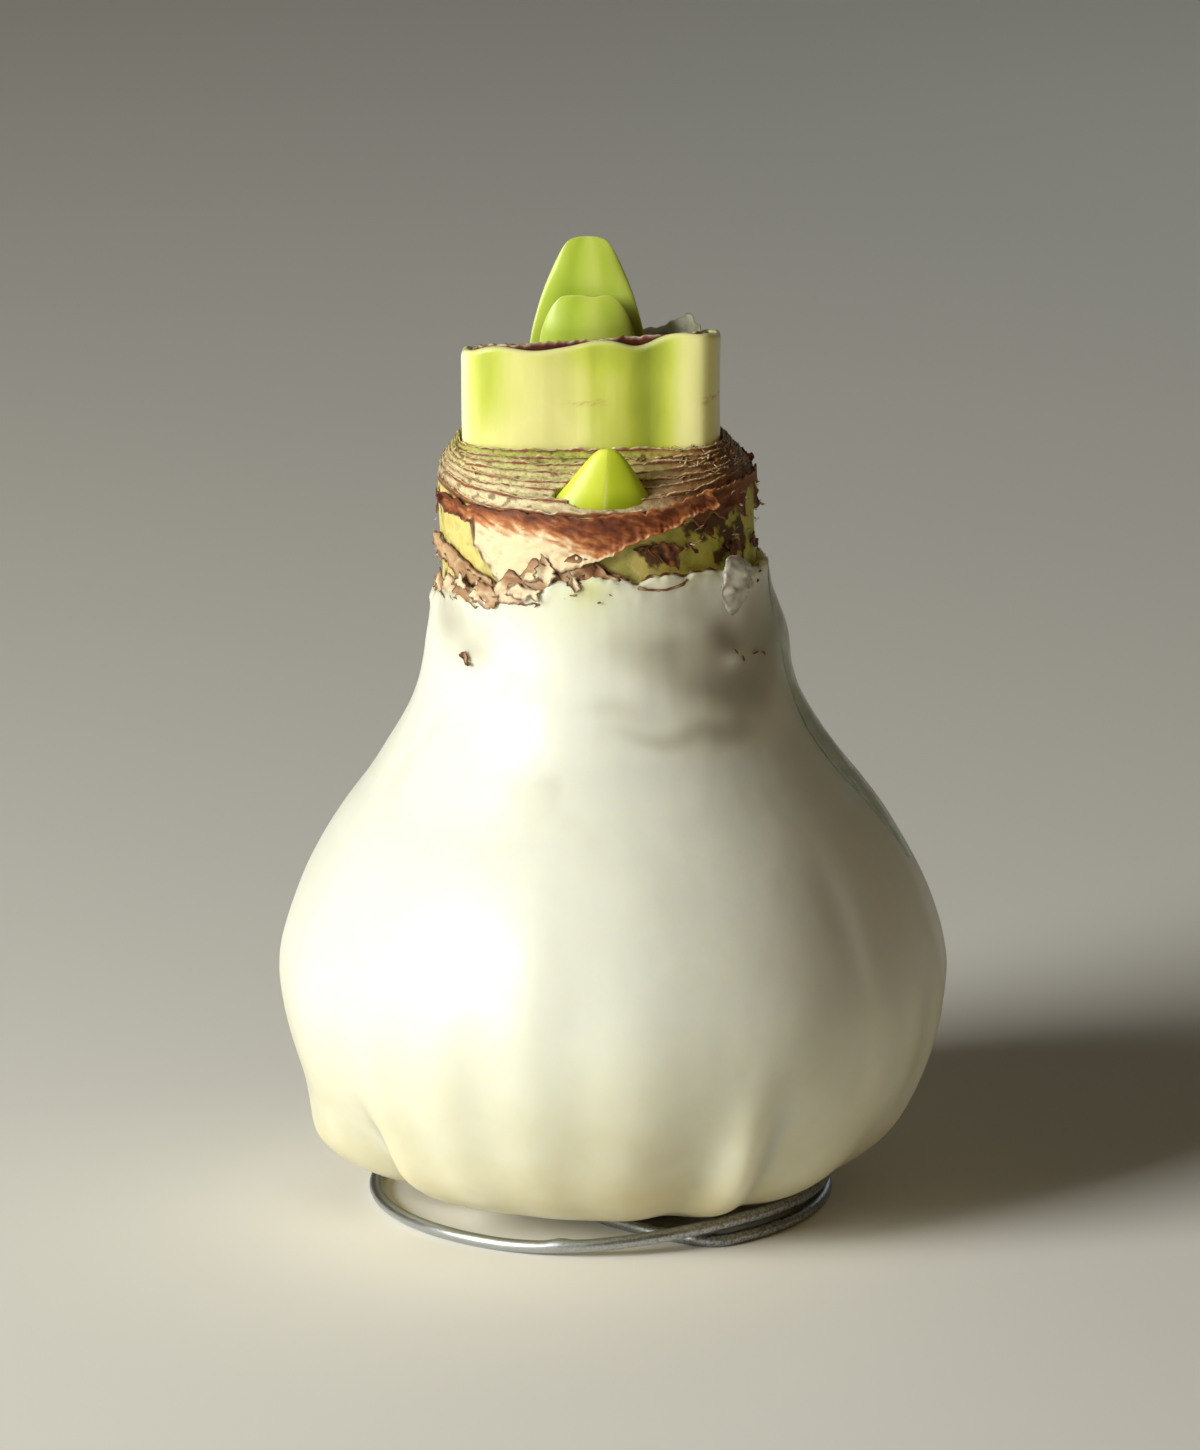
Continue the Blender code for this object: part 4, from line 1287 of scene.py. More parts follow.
@dataclass
class NeckSheath:
    """The green leaf base: a fluted flattened tube, cut across on a slant."""

    x: float = -3.4
    half_width: float = 19.8
    half_depth: float = 9.0
    wall: float = 2.4
    lip_wall: float = 1.5
    top: float = 135.4
    slope_x: float = 0.07
    slope_y: float = -0.2
    foot: float = 106.3
    columns: int = 300
    squareness: float = 0.62
    flute_shares: Ridges = (
        (-63, 11, -0.1), (-140, 10, -0.035), (-32, 13, 0.26), (-98, 9, -0.03), (-160, 12, 0.04),
        (70, 14, -0.07), (125, 12, -0.05),
    )
    lip_dips: Ridges = ((-112, 13, -1.1), (-69, 9, -1.2), (-90, 7, 0.25))
    # Lightness of the green across the front, left to right: partly its own tone and partly
    # painted light and shade, darkest in the flute's hollow near 8.8 mm and lighter on the right
    # column.
    front_tone_and_painted_light: Edge = (
        (-20, 0.85), (-18.2, 0.8), (-16.5, 0.72), (-13.5, 0.77), (-11, 0.84), (-6, 0.82),
        (-1.5, 0.7), (0.2, 0.56), (2.5, 0.6), (5.5, 0.52), (7.4, 0.34), (8.8, 0.24),
        (10.2, 0.32), (12, 0.52), (14, 0.78), (18, 0.9), (20, 0.75), (22, 0.5),
    )
    scars: tuple[tuple[float, float, float, float], ...] = (
        (-0.6, 127.3, 2.4, 0.8), (1.4, 127.8, 0.8, 0.5), (18.4, 127.9, 1.2, 1.0),
        (17.4, 127.2, 0.5, 0.7),
    )

    def flutes(self, degrees: Array) -> Array:
        """Upright hollows and swellings, as a share of the depth."""
        return ridges(self.flute_shares, degrees)

    def section(self, degrees: Array, inward: Array | float) -> tuple[Array, Array]:
        """A point of the section, that far inside its outside.

        Args:
            degrees: angles round the axis.
            inward: how far inside the outside.
        Returns:
            x and y from the tube's middle.
        """
        phi = np.radians(degrees)
        square = 1.0 + 0.1 * np.sin(2 * phi) ** 2
        grown = square * (1.0 + self.flutes(degrees) * np.abs(np.sin(phi)))
        x = (self.half_width - inward) * np.cos(phi) * square
        boxy = np.sign(np.sin(phi)) * np.abs(np.sin(phi)) ** self.squareness
        y = (self.half_depth * grown - inward) * boxy
        return x, y

    def cut(self, x: Array, y: Array) -> Array:
        """Height of the slanting cut."""
        return self.top + self.slope_x * (x - self.x) + self.slope_y * y

    def lip(self, degrees: Array) -> Array:
        """How far the cut edge rises or dips: two dips at the front, and fine waves."""
        waves = 0.2 * np.sin(np.radians(degrees) * 5) + 0.12 * np.sin(np.radians(degrees) * 13 + 1)
        return ridges(self.lip_dips, degrees) + waves

    def build(self) -> bpy.types.Object:
        """Makes the tube with a rounded lip.

        Returns:
            The object.
        """
        degrees = full_turn(self.columns)
        outer = [(0.0, s) for s in np.linspace(0, 0.95, 112)]
        lip = [(self.lip_wall * 0.5 * (1 - math.cos(a)), 0.962 + 0.038 * math.sin(a))
               for a in np.linspace(0.0, math.pi, 13)]
        inner = [(self.lip_wall + (self.wall - self.lip_wall) * min(1.0, (0.95 - s) * 5), s)
                 for s in np.linspace(0.95, 0.0, 24)]
        profile = np.array(outer + lip + inner)
        inward, share = profile[:, :1], profile[:, 1:]
        waist = 0.12 * np.sin(math.pi * share)
        x, y = self.section(degrees, inward + waist)
        x = x + self.x
        cut = self.cut(x, y) + self.lip(degrees) * smoothstep(0.5, 1.0, share)
        z = self.foot + (cut - self.foot) * share
        points = xyz(x, y, z)
        bulge = 0.12 * grain(points * np.array([1, 1, 0.35]), 5.0, 12.0, 2)
        direction = points - np.array([self.x, 0, 0]) * np.array([1, 1, 0])
        direction[..., 2] = 0
        direction /= np.linalg.norm(direction, axis=-1, keepdims=True)
        points = points + direction * bulge[..., None]
        across = np.clip(points[..., 0] - self.x, -20, 22)
        front = follow(self.front_tone_and_painted_light, across)
        # Behind, lighter on the flutes' ridges and darker in their hollows: painted light and
        # shade.
        behind = 0.5 + 2.6 * self.flutes(degrees) + 0.15 * np.sin(across * 0.5)
        shade = np.where(np.sin(np.radians(degrees)) < 0, front, behind)
        shade = shade - 0.26 * bell(across, -15.6, 2.8) * smoothstep(116, 130, z)
        # A painted pool of light on the front left, and darker towards the lip in the middle.
        shade = shade + 0.25 * bell(z, 121.5, 4) * bell(across, -7, 8)
        shade = shade - 0.18 * smoothstep(130, 136, z) * bell(across, 1, 9)
        margin = np.where(share > 0.9, smoothstep(0.965, 0.99, share) * 0.32, 0.0)
        ends = 0.8 * smoothstep(17.9, 20.0, np.abs(across)) * smoothstep(108, 116, z)
        # A painted highlight: the right column is paled with the margin colour.
        ends = ends + 0.15 * bell(across, 15.4, 2.6) * (1.0 - ends)
        margin = np.maximum(margin, ends)
        fine = grain(points * np.array([1, 1, 3.0]), 0.7, 31.0, 2)
        scar = 0.0 * shade
        for place, height, length, depth in self.scars:
            scar = scar + depth * bell(across, place, length) * bell(z, height + 0.3 * fine, 0.3)
        inside = (inward > self.wall * 0.9) * 0.35
        values = {"shade": shade + inside, "margin": np.clip(margin, 0, 0.9),
                  "scar": np.clip(scar * (0.6 + fine), 0, 0.9)}
        return outward(Loft(points, values, close_rows=True).build("neck_sheath_leaf"))


@dataclass
class InnerScale:
    """The dry brown scale inside the sheath, with its torn clear flap at the back right."""

    sheath: NeckSheath
    wall: float = 0.5
    gap: float = 0.3
    film_foot: float = 2.5
    film_thickness: float = 0.18
    columns: int = 300

    def build(self) -> bpy.types.Object:
        """Makes the brown band.

        Returns:
            The object.
        """
        degrees = full_turn(self.columns)
        steps = [0, 0.2, 0.4, 0.6, 0.75, 0.85, 0.9, 0.94, 0.965, 0.98, 0.99, 1.0]
        profile = [(0.0, s) for s in steps] + [(self.wall, s) for s in steps[::-1]]
        inward, share = np.array(profile)[:, :1], np.array(profile)[:, 1:]
        wall = self.sheath.wall + (self.sheath.lip_wall - self.sheath.wall) \
            * smoothstep(0.78, 0.96, share)
        x, y = self.sheath.section(degrees, wall + self.gap + inward)
        x = x + self.sheath.x
        around = xyz(x, y, 0.0)
        ragged = 0.35 * grain(around, 1.1, 3.0, 3) + 0.25 * grain(around, 4.0, 5.0)
        front = 0.6 * smoothstep(0.2, -0.6, np.sin(np.radians(degrees)))
        top = self.sheath.cut(x, y) - 0.35 + front + ragged
        points = xyz(x, y, self.sheath.foot + (top - self.sheath.foot) * share)
        torn = smoothstep(0.985, 1.0, share)
        lip = 0.9 * torn * np.clip(0.5 + grain(around, 0.8, 9.0), 0, 1)
        values = {"bleach": 0.16 + 0.3 * torn, "lip": lip}
        return outward(Loft(points, values, close_rows=True).build("inner_scale_dry"))

    def flap(self) -> bpy.types.Object:
        """Makes the torn film that stands up at the back right.

        Returns:
            The object.
        """
        degrees = np.linspace(68, 22, 40)[None, :]
        up = np.linspace(0, 1, 14)[:, None]
        x, y = self.sheath.section(degrees, self.sheath.wall + 0.15)
        x = x + self.sheath.x
        peak = 0.9 + 1.9 * smoothstep(60, 36, degrees) * smoothstep(27, 36, degrees)
        ragged = 0.12 * np.sin(np.radians(degrees) * 31) + 0.1 * np.sin(np.radians(degrees) * 67)
        z = self.sheath.cut(x, y) - self.film_foot + (self.film_foot + peak + ragged) * up
        points = xyz(x, y + 0.5 * up ** 2, z)
        made = Loft(points, close_columns=False).build("torn_film")
        thick = made.modifiers.new("Thickness", "SOLIDIFY")
        thick.thickness = self.film_thickness * MM
        return made


@dataclass
class LeafTip:
    """A blunt young leaf: flat, with thin pale margins, slightly troughed."""

    name: str
    widths: Edge
    top: float
    x: float
    y: float
    thickness: float
    bend: float
    foot: float = 106.3
    notch: float = 0.0
    columns: int = 96
    rows: int = 110

    def build(self) -> bpy.types.Object:
        """Makes the leaf with a rim that thins to its edges.

        Returns:
            The object.
        """
        outline = [(0.0, 0.0), *self.widths]
        root = self.widths[-1][0]
        tall = self.top - self.foot
        outline += [(root, outline[-1][1] + 6), (root, tall)]
        curve = smooth_curve(outline, self.rows)
        curve[0, 0] = 0.05
        half, down = curve[:, :1], curve[:, 1:]
        turn = np.radians(full_turn(self.columns))
        across = half * np.cos(turn)
        body = self.thickness / 2 * smoothstep(-0.6, 6.0, down) ** 0.7
        edge_thin = np.abs(np.sin(turn)) ** 1.15 * np.sign(np.sin(turn))
        through = body * edge_thin * np.minimum(1.0, half / 2.0)
        y = self.y + through + self.bend * MM * across ** 2
        z = self.top - down - self.notch * bell(across, 0.8, 1.1) * smoothstep(2.5, 0.0, down)
        points = xyz(self.x + across, y, z)
        share = np.abs(np.cos(turn))
        rim = smoothstep(0.972, 0.997, share) * 0.7 * smoothstep(0, 1.0, half)
        rim = np.maximum(rim, 0.55 * smoothstep(0.3, 0.0, down))
        side = np.cos(turn)
        # A lighter upright band right of the middle and a darker one on the left; the right part
        # is painted lighter, painted light on the side away from the lamp; a little darker
        # downwards.
        shade = 0.52 + 0.26 * bell(side, 0.16, 0.26) - 0.16 * bell(side, -0.46, 0.24)
        shade = shade + 0.16 * smoothstep(0.4, 0.9, side) - 0.05 * smoothstep(6, 20, down)
        values = {"shade": shade, "margin": rim, "scar": np.zeros(1)}
        return outward(Loft(points, values, cap_first=True, cap_last=True).build(self.name))


@dataclass
class FrontBud:
    """The small bud: two valves that meet in a pale seam."""

    x: float = -2.2
    y: float = -19.6
    half_width: float = 7.5
    depth_share: float = 0.36
    top: float = 123.0
    foot: float = 108.5
    wedge: float = 1.28
    seam_angle: float = 272.5
    outline: Edge = (
        (0.0, 1.0), (1.2, 0.985), (2.5, 0.91), (4.1, 0.77), (5.7, 0.61), (6.9, 0.49),
        (7.6, 0.37), (8.0, 0.14), (8.0, 0.0),
    )
    columns: int = 144
    rows: int = 90

    def build(self) -> bpy.types.Object:
        """Makes the bud.

        Returns:
            The object.
        """
        height = self.top - self.foot
        curve = smooth_curve([(w, share * height) for w, share in self.outline], self.rows)
        curve[0, 0] = 0.03
        half, up = curve[:, :1], curve[:, 1:]
        turn = np.radians(full_turn(self.columns))
        degrees = np.degrees(turn)
        rise = smoothstep(0, height, up)
        step = 0.22 * smoothstep(270, 275, degrees) * smoothstep(330, 290, degrees)
        radius = half - step * smoothstep(0.2, 3.0, half)
        flat = np.sign(np.sin(turn)) * np.abs(np.sin(turn)) ** self.wedge
        x = self.x + radius * np.cos(turn) + 1.3 * rise
        y = self.y + radius * flat * self.depth_share * 1.12
        points = xyz(x, y, self.foot + up)
        seam = angle_bell(degrees, self.seam_angle, 1.8) * smoothstep(0.3, 2.0, half) * 0.6
        # The right valve is painted darker: painted shade on the side turned from the lamp. The
        # bud also darkens towards its foot and lightens at its tip.
        shade = 0.72 - 0.34 * smoothstep(271, 280, degrees) * smoothstep(360, 330, degrees)
        shade = shade - 0.3 * smoothstep(0.62, 0.4, up / height)
        shade = shade + 0.15 * smoothstep(0.85, 1.0, up / height)
        values = {"shade": shade, "margin": seam, "scar": np.zeros(1)}
        return outward(Loft(points, values, cap_first=True, cap_last=True).build("front_bud_leaf"))


@dataclass
class SkinPiece:
    """A torn piece of dry skin that follows the neck between two ragged edges."""

    form: DippedForm
    name: str
    upper: Edge
    lower: Edge
    lift: float = 0.5
    curl: float = 0.5
    crumple: float = 0.15
    crumple_mm: float = 3.0
    fold_layers: int = 2
    ragged: float = 0.35
    seed: float = 1.0
    step: float = 0.5
    rows: int = 24
    thickness: float = 0.24
    lip_mm: float = 0.4
    pale_lip_from: float = 999.0
    bleach: Callable[[Array, Array], Array] | None = None
    on_wax: bool = False

    def place(self, degrees: Array, z: Array, lift: Array | float) -> Array:
        """Points that far outside what the piece lies on.

        Args:
            degrees: angles round the axis.
            z: heights, in millimetres.
            lift: how far outside the surface.
        Returns:
            The points, in millimetres.
        """
        if self.on_wax:
            return self.form.on_wax(degrees, z, lift)
        return self.form.neck(degrees, z, lift)

    def build(self) -> bpy.types.Object:
        """Makes the piece as a thin sheet.

        Returns:
            The object.
        """
        start, end = self.upper[0][0], self.upper[-1][0]
        columns = max(10, int((end - start) / self.step))
        along = np.linspace(start, end, columns)[None, :]
        ring = xyz(along[0] * RIM_MM_PER_DEGREE, 0.0, self.seed * 5)
        tear = self.ragged * grain(ring, 2.0, self.seed, 3)
        tear_low = self.ragged * 1.2 * grain(ring, 1.7, self.seed + 3, 3)
        high = follow(self.upper, along) + tear
        low = np.minimum(follow(self.lower, along) + tear_low, high - 0.05)
        up = np.linspace(0, 1, self.rows)[:, None]
        z = low + (high - low) * up
        column = xyz(self.seed, 0.0, z)
        near_end = bell(along, start, 3.0) - bell(along, end, 3.0)
        degrees = along + 3.0 * near_end * (0.4 + grain(column, 1.3, self.seed + 5, 3))
        flat = self.place(degrees, z, 0.0)
        fold = grain(flat * np.array([1, 1, 1.6]), self.crumple_mm, self.seed + 7,
                     self.fold_layers)
        fold = self.crumple * (1.0 - 2.0 * np.abs(fold))
        ends = np.minimum(along - start, end - along)
        edge_curl = self.curl * (1 - up) ** 4 + 0.7 * self.curl * smoothstep(5.0, 0.0, ends)
        lifted = np.maximum(self.lift + fold + edge_curl, self.thickness * 0.5 + 0.04)
        points = self.place(degrees, z, lifted)
        steep = np.gradient(low, axis=1) / (np.gradient(along, axis=1) * NECK_MM_PER_DEGREE)
        from_low = (z - low) / np.sqrt(1 + steep ** 2)
        edge = np.minimum(np.minimum(from_low, high - z), ends * RIM_MM_PER_DEGREE)
        lip = smoothstep(self.lip_mm, self.lip_mm * 0.3, edge) * 0.9
        lip = lip * np.clip(0.8 + 0.8 * grain(points, 1.0, 2.0), 0, 1)
        bleach = self.bleach(degrees, z) if self.bleach else 0.45 + 0 * z
        # Crumple ridges are painted lighter and the hollows darker: painted light and shade on the
        # folds.
        bleach = bleach + 0.5 * (fold / max(self.crumple, 0.01)) * min(self.crumple, 0.5)
        pale = smoothstep(self.pale_lip_from, self.pale_lip_from + 8.0, degrees)
        values = {"bleach": bleach + 0.28 * lip * pale, "lip": lip * (1.0 - pale)}
        made = Loft(points, values, close_columns=False).build(self.name)
        thick = made.modifiers.new("Thickness", "SOLIDIFY")
        thick.thickness = self.thickness * MM
        thick.offset = 0.0
        return made


@dataclass
class WireStand:
    """The galvanised wire: spike, spoke, ring and the raised second turn."""

    radius: float = 1.0
    ring_x: float = -1.9
    ring_radius: float = 35.0
    rise: float = 2.9
    spike: float = 22.0
    drip_place: tuple[float, float, float] = (-8.0, -34.2, 2.1)
    drip_spread: tuple[float, float, float] = (1.6, 1.0, 0.9)
    drip_height: float = 0.45

    def path(self) -> Array:
        """The wire's centre line.

        Returns:
            The points, in millimetres.
        """
        level = self.radius
        spoke = [(0, 0, self.spike), (0, 0, 12), (0, 0, 7.5), (0, 0, 4.8), (-0.5, -0.9, 2.4),
                 (-1.5, -2.8, level + 0.2), (-2.7, -5.6, level), (-3.5, -10, level),
                 (-2.2, -17, level), (2.2, -21.6, level), (8.2, -26.6, level)]
        points = [tuple(map(float, p)) for p in spoke]
        for degrees in np.linspace(-60, 386, 39):
            phi = math.radians(degrees)
            lifted = level + self.rise * float(smoothstep(242, 312, degrees))
            reach = self.ring_radius - 0.6 * float(smoothstep(-45, -60, degrees))
            points.append((self.ring_x + reach * math.cos(phi), reach * math.sin(phi), lifted))
        curve = smooth_curve(points, 420)
        curve[:, 2] = np.maximum(curve[:, 2], level)
        return curve

    def build(self) -> bpy.types.Object:
        """Sweeps a round section along the centre line.

        Returns:
            The object.
        """
        curve = self.path()
        along = np.gradient(curve, axis=0)
        along /= np.linalg.norm(along, axis=1, keepdims=True)
        side = np.empty_like(curve)
        side[0] = (1.0, 0.0, 0.0)
        for i in range(1, len(curve)):
            kept = side[i - 1] - along[i] * np.dot(side[i - 1], along[i])
            side[i] = unit(kept)
        up = np.cross(along, side)
        turn = np.radians(full_turn(18))[..., None]
        reach = np.full((len(curve), 1, 1), self.radius)
        reach[0], reach[1], reach[-1] = 0.25, 0.8, 0.55
        points = curve[:, None, :] + reach * (np.cos(turn) * side[:, None, :]
                                              + np.sin(turn) * up[:, None, :])
        away = (points - np.array(self.drip_place)) / np.array(self.drip_spread)
        points[..., 2] += self.drip_height * np.exp(-np.sum(away ** 2, axis=-1))
        return outward(Loft(points, cap_first=True, cap_last=True).build("wire_stand_round"))


@dataclass
class Studio:
    """The floor, the camera at the photograph's angle and the soft lights."""

    elevation: float = 14.8
    distance: float = 1600.0
    focal_px: float = 10400.0
    target: tuple[float, float, float] = (-2.0, 0.0, 74.66)
    sensor_mm: float = 36.0
    aim_m: tuple[float, float, float] = (0.0, 0.0, 0.07)
    lights: tuple[tuple[str, tuple[float, float, float], float, float, str], ...] = (
        ("key_left", (-0.95, -0.62, 0.5), 0.6, 19.0, "#FFFDF4"),
        ("fill_right", (1.1, -0.7, 0.4), 0.9, 0.8, "#FFC064"),
        ("rim_right", (0.5, 1.0, 0.45), 0.35, 0.5, "#DDF4FF"),
    )
    air: str = "#EEDAA8"
    air_strength: float = 0.05
    floor_size_m: float = 8.0

    def camera(self) -> None:
        """Places the camera."""
        data = bpy.data.cameras.new("camera")
        data.sensor_width = self.sensor_mm
        data.lens = self.focal_px * self.sensor_mm / max(PHOTO_SIZE)
        made = bpy.data.objects.new("camera", data)
        bpy.context.scene.collection.objects.link(made)
        target = Vector(self.target) * MM
        tilt = math.radians(self.elevation)
        back = Vector((0.0, -math.cos(tilt), math.sin(tilt))) * self.distance * MM
        made.location = target + back
        made.rotation_euler = (-back).to_track_quat("-Z", "Y").to_euler()
        bpy.context.scene.camera = made

    def softbox(self, name: str, place: tuple[float, float, float], size: float, power: float,
                tone: str) -> None:
        """Adds a square soft light aimed at the bulb.

        Args:
            name: the light's name.
            place: where it stands, in metres.
            size: its side, in metres.
            power: its power, in watts.
            tone: its hex colour.
        """
        data = bpy.data.lights.new(name, "AREA")
        data.size = size
        data.energy = power
        data.color = linear(tone)[:3]
        made = bpy.data.objects.new(name, data)
        made.location = place
        aim = Vector(self.aim_m) - Vector(place)
        made.rotation_euler = aim.to_track_quat("-Z", "Y").to_euler()
        bpy.context.scene.collection.objects.link(made)

    def build(self) -> None:
        """Sets the studio up."""
        self.camera()
        bpy.context.scene.view_settings.view_transform = "Standard"
        for light in self.lights:
            self.softbox(*light)
        world = bpy.data.worlds.new("studio_air")
        world.use_nodes = True
        feed(world.node_tree, world.node_tree.nodes["Background"],
             {"Color": self.air, "Strength": self.air_strength})
        bpy.context.scene.world = world
        bpy.ops.mesh.primitive_plane_add(size=self.floor_size_m, location=(0, 0, 0))
        floor = bpy.context.object
        floor.name = "studio_floor"
        floor.data.materials.append(PaintedFloor().material())


def front_bleach(degrees: Array, z: Array) -> Array:
    """Brown along the top and to the right, cream low on the left, with slanting fibres.

    Args:
        degrees: angles round the axis.
        z: heights, in millimetres.
    Returns:
        The bleach layer's values.
    """
    around = degrees * NECK_MM_PER_DEGREE
    bend = 0.9 * grain(xyz(around, 0.0, z), 4.0, 57.0, 2)
    along = 0.94 * around - 0.34 * z
    across = 0.34 * around + 0.94 * z + bend
    fibres = xyz(along * 0.35, 0.0, across * 1.6)
    streak = grain(fibres, 1.0, 51.0, 2)
    fine = grain(fibres * np.array([2.0, 1.0, 2.4]), 1.0, 53.0, 2)
    border = follow(((199, 110.0), (221, 111.6), (236, 112.0), (249, 111.7), (257, 110.9),
                     (262, 109.7), (269, 108.7), (280, 107.2), (320, 105.0)), degrees)
    border = border + 0.7 * streak + bend
    cream = smoothstep(border + 1.6, border - 3.2, z) * smoothstep(209, 224, degrees)
    dark = 0.16 * angle_bell(degrees, 272, 15) * bell(z, 112.4, 2.0)
    dark = dark + 0.12 * smoothstep(1.3, 0.2, 113.5 - z) * smoothstep(262, 250, degrees)
    return 0.34 + 0.54 * cream - dark + 0.14 * streak + 0.1 * fine


@dataclass
class DrySkins:
    """Every piece of papery skin left on the neck, and the flecks that stick out of it."""

    form: DippedForm

    def tunics(self) -> None:
        """Makes the four large pieces in place of their solids."""
        russet = PaperySkin("dry_tunic_russet", "#2B1209", "#80401C", "#EAD7AE", "#5A2E16",
                            "#C07C48", fibre_mm=0.2, contrast=0.3, relief=0.3,
                            along=(1.0, 1.0, 2.2))
        straw = PaperySkin("dry_tunic_straw", "#4A2C18", "#8E6844", "#DCC8A0", "#4A2A16",
                           "#BE9C74", contrast=0.5, relief=0.15, along=(1.0, 1.0, 2.0))
        dark = PaperySkin("dry_tunic_dark", "#2A120A", "#6E3A1A", "#C79A66", "#9A7048", "#93592C",
                          relief=0.25)
        front = SkinPiece(
            self.form, "tunic_front_paper",
            upper=((199, 113.9), (206, 113.6), (219, 113.2), (234, 113.4), (250, 113.5),
                   (265, 113.5), (276, 113.8), (290, 114.2), (301, 115.0), (310, 115.7),
                   (317, 116.2)),
            lower=((199, 113.0), (205.5, 111.2), (214, 111.2), (221.5, 110.4), (222.8, 107.2),
                   (228, 105.0), (233.5, 102.4), (238, 101.6), (245, 103.0), (253, 104.0),
                   (267, 106.5), (276.5, 108.1), (285.5, 109.7), (295.5, 111.2), (306, 112.7),
                   (317, 114.0)),
            bleach=front_bleach, rows=46, step=0.36, curl=0.8, crumple=0.16, seed=2.0,
            ragged=0.6, lip_mm=0.5, pale_lip_from=260.0)
        dress(front.build(), russet.material(), Slot.SKIN.value, "tunic_front")
        left = SkinPiece(
            self.form, "tunic_left_paper",
            upper=((188, 106.3), (193.5, 106.2), (208, 105.3), (220.5, 103.6), (228, 102.4),
                   (236, 100.9)),
            lower=((188, 104.6), (197.5, 103.4), (204, 103.0), (210.5, 101.4), (222.5, 100.4),
                   (236, 99.6)),
            crumple=0.4, curl=0.5, lift=0.45, seed=4.0, crumple_mm=3.4, fold_layers=1, step=0.4,
            ragged=0.6)
        dress(left.build(), straw.material(), Slot.SKIN.value, "tunic_left")
        right = SkinPiece(
            self.form, "tunic_right_paper",
            upper=((303, 114.9), (310, 115.5), (324, 116.0), (339, 116.0), (352, 115.8),
                   (368, 115.4)),
            lower=((303, 113.0), (307, 111.6), (310, 110.4), (314, 112.2), (320, 111.6),
                   (323, 110.6), (329, 112.3), (333, 111.4), (336, 110.4), (339, 114.4),
                   (349, 114.8), (352, 112.4), (356, 113.4), (368, 112.8)),
            bleach=lambda d, z: 0.26 + 0.05 * (z - 112), crumple=0.25, curl=0.2, lift=0.4,
            seed=6.0, step=0.4, crumple_mm=3.4, fold_layers=1, ragged=0.6, rows=30)
        dress(right.build(), dark.material(), Slot.SKIN.value, "tunic_right")
        back = SkinPiece(
            self.form, "tunic_back_paper",
            upper=((14, 115.6), (60, 115.6), (90, 115.6), (130, 115.2), (160, 114.4)),
            lower=((14, 108.0), (28, 105.0), (45, 103.5), (60, 101.0), (72, 103.5), (86, 99.5),
                   (100, 103.0), (118, 104.5), (132, 100.0), (146, 105.0), (160, 107.0)),
            bleach=lambda d, z: 0.5 + 0.25 * np.sin(np.radians(d) * 4) - 0.05 * (z - 108),
            crumple=0.4, rows=40, seed=8.0, ragged=0.8, curl=0.9)
        dress(back.build(), russet.material(), Slot.SKIN.value, "tunic_back")

    def shreds(self) -> None:
        """Makes the crumpled scraps along the wax rim and on the bare wall."""
        straw = PaperySkin("rim_shred_straw", "#4A2A16", "#845A3A", "#E0CFAC", "#54301A",
                           "#B08A64", contrast=0.65, relief=0.2,
                           along=(1.0, 1.0, 1.6)).material()
        bark = PaperySkin("wall_scrap_brown", "#26120A", "#5E3318", "#B4834F", "#7A4A26",
                          "#8A5228", relief=0.2).material()
        rim = (
            ("a", 188, 204, 97.4, 101.4, 0.6, 0.45), ("b", 199, 216, 97.8, 102.0, 0.7, 0.5),
            ("c", 209, 228, 98.0, 101.6, 0.9, 0.35), ("d", 219, 236, 98.6, 102.4, 1.1, 0.55),
            ("e", 231, 249, 99.8, 104.6, 0.9, 0.45), ("f", 238, 263, 101.4, 106.8, 0.7, 0.42),
            ("g", 247, 257, 103.6, 107.4, 1.1, 0.85), ("h", 252, 277, 103.0, 108.0, 0.55, 0.3),
            ("i", 236, 252, 100.6, 103.0, 1.3, 0.75), ("j", 262, 279, 103.2, 106.2, 0.5, 0.2),
            ("k", 270, 285, 101.8, 104.2, 0.6, 0.5), ("n", 172, 190, 95.8, 98.4, 0.6, 0.5),
            ("o", 212, 222, 100.2, 102.8, 1.4, 0.85), ("p", 257, 266, 103.0, 105.4, 1.2, 0.75),
        )
        for key, start, end, low, high, lift, pale in rim:
            middle = (start + end) / 2
            piece = SkinPiece(
                self.form, f"rim_shred_{key}",
                upper=((start, low + 0.8), (middle - 2, high), (middle + 2, high - 0.8),
                       (end, low + 1.4)),
                lower=((start, low + 0.3), (middle + 1, low - 0.4), (end, low + 0.2)),
                lift=lift * 1.2 + 0.1, curl=0.4, crumple=0.5, crumple_mm=3.6, fold_layers=1,
                ragged=0.7, seed=float(ord(key) - 90), step=0.36, thickness=0.16, lip_mm=0.42,
                bleach=lambda d, z, pale=pale: pale + 0.02 + 0.14 * np.sin(d * 0.4 + z * 0.7))
            dress(piece.build(), straw, Slot.SKIN.value)
        wall = (
            ("a", 287, 302, 104.8, 109.4, 0.3), ("b", 302, 309, 106.8, 108.8, 0.3),
            ("c", 321, 335, 104.2, 107.4, 0.35), ("d", 340, 352, 103.2, 106.6, 0.4),
            ("e", 283, 290, 108.0, 109.0, 0.3), ("f", 309, 319, 108.2, 110.6, 0.5),
            ("g", 186, 192, 109.6, 112.6, 0.25),
        )
        for key, start, end, low, high, lift in wall:
            middle = (start + end) / 2
            piece = SkinPiece(
                self.form, f"wall_scrap_{key}",
                upper=((start, high - 0.6), (middle, high), (end, high - 1.6)),
                lower=((start, high - 1.0), (middle, low + 1.4), (end - 1, low), (end, low + 0.5)),
                lift=lift, curl=0.2, crumple=0.25, crumple_mm=2.6, ragged=1.0,
                seed=float(ord(key) - 60), rows=20, step=0.36, thickness=0.16, lip_mm=0.3,
                bleach=lambda d, z: 0.3 + 0.2 * np.sin(d * 1.3 + z))
            dress(piece.build(), bark, Slot.SKIN.value)
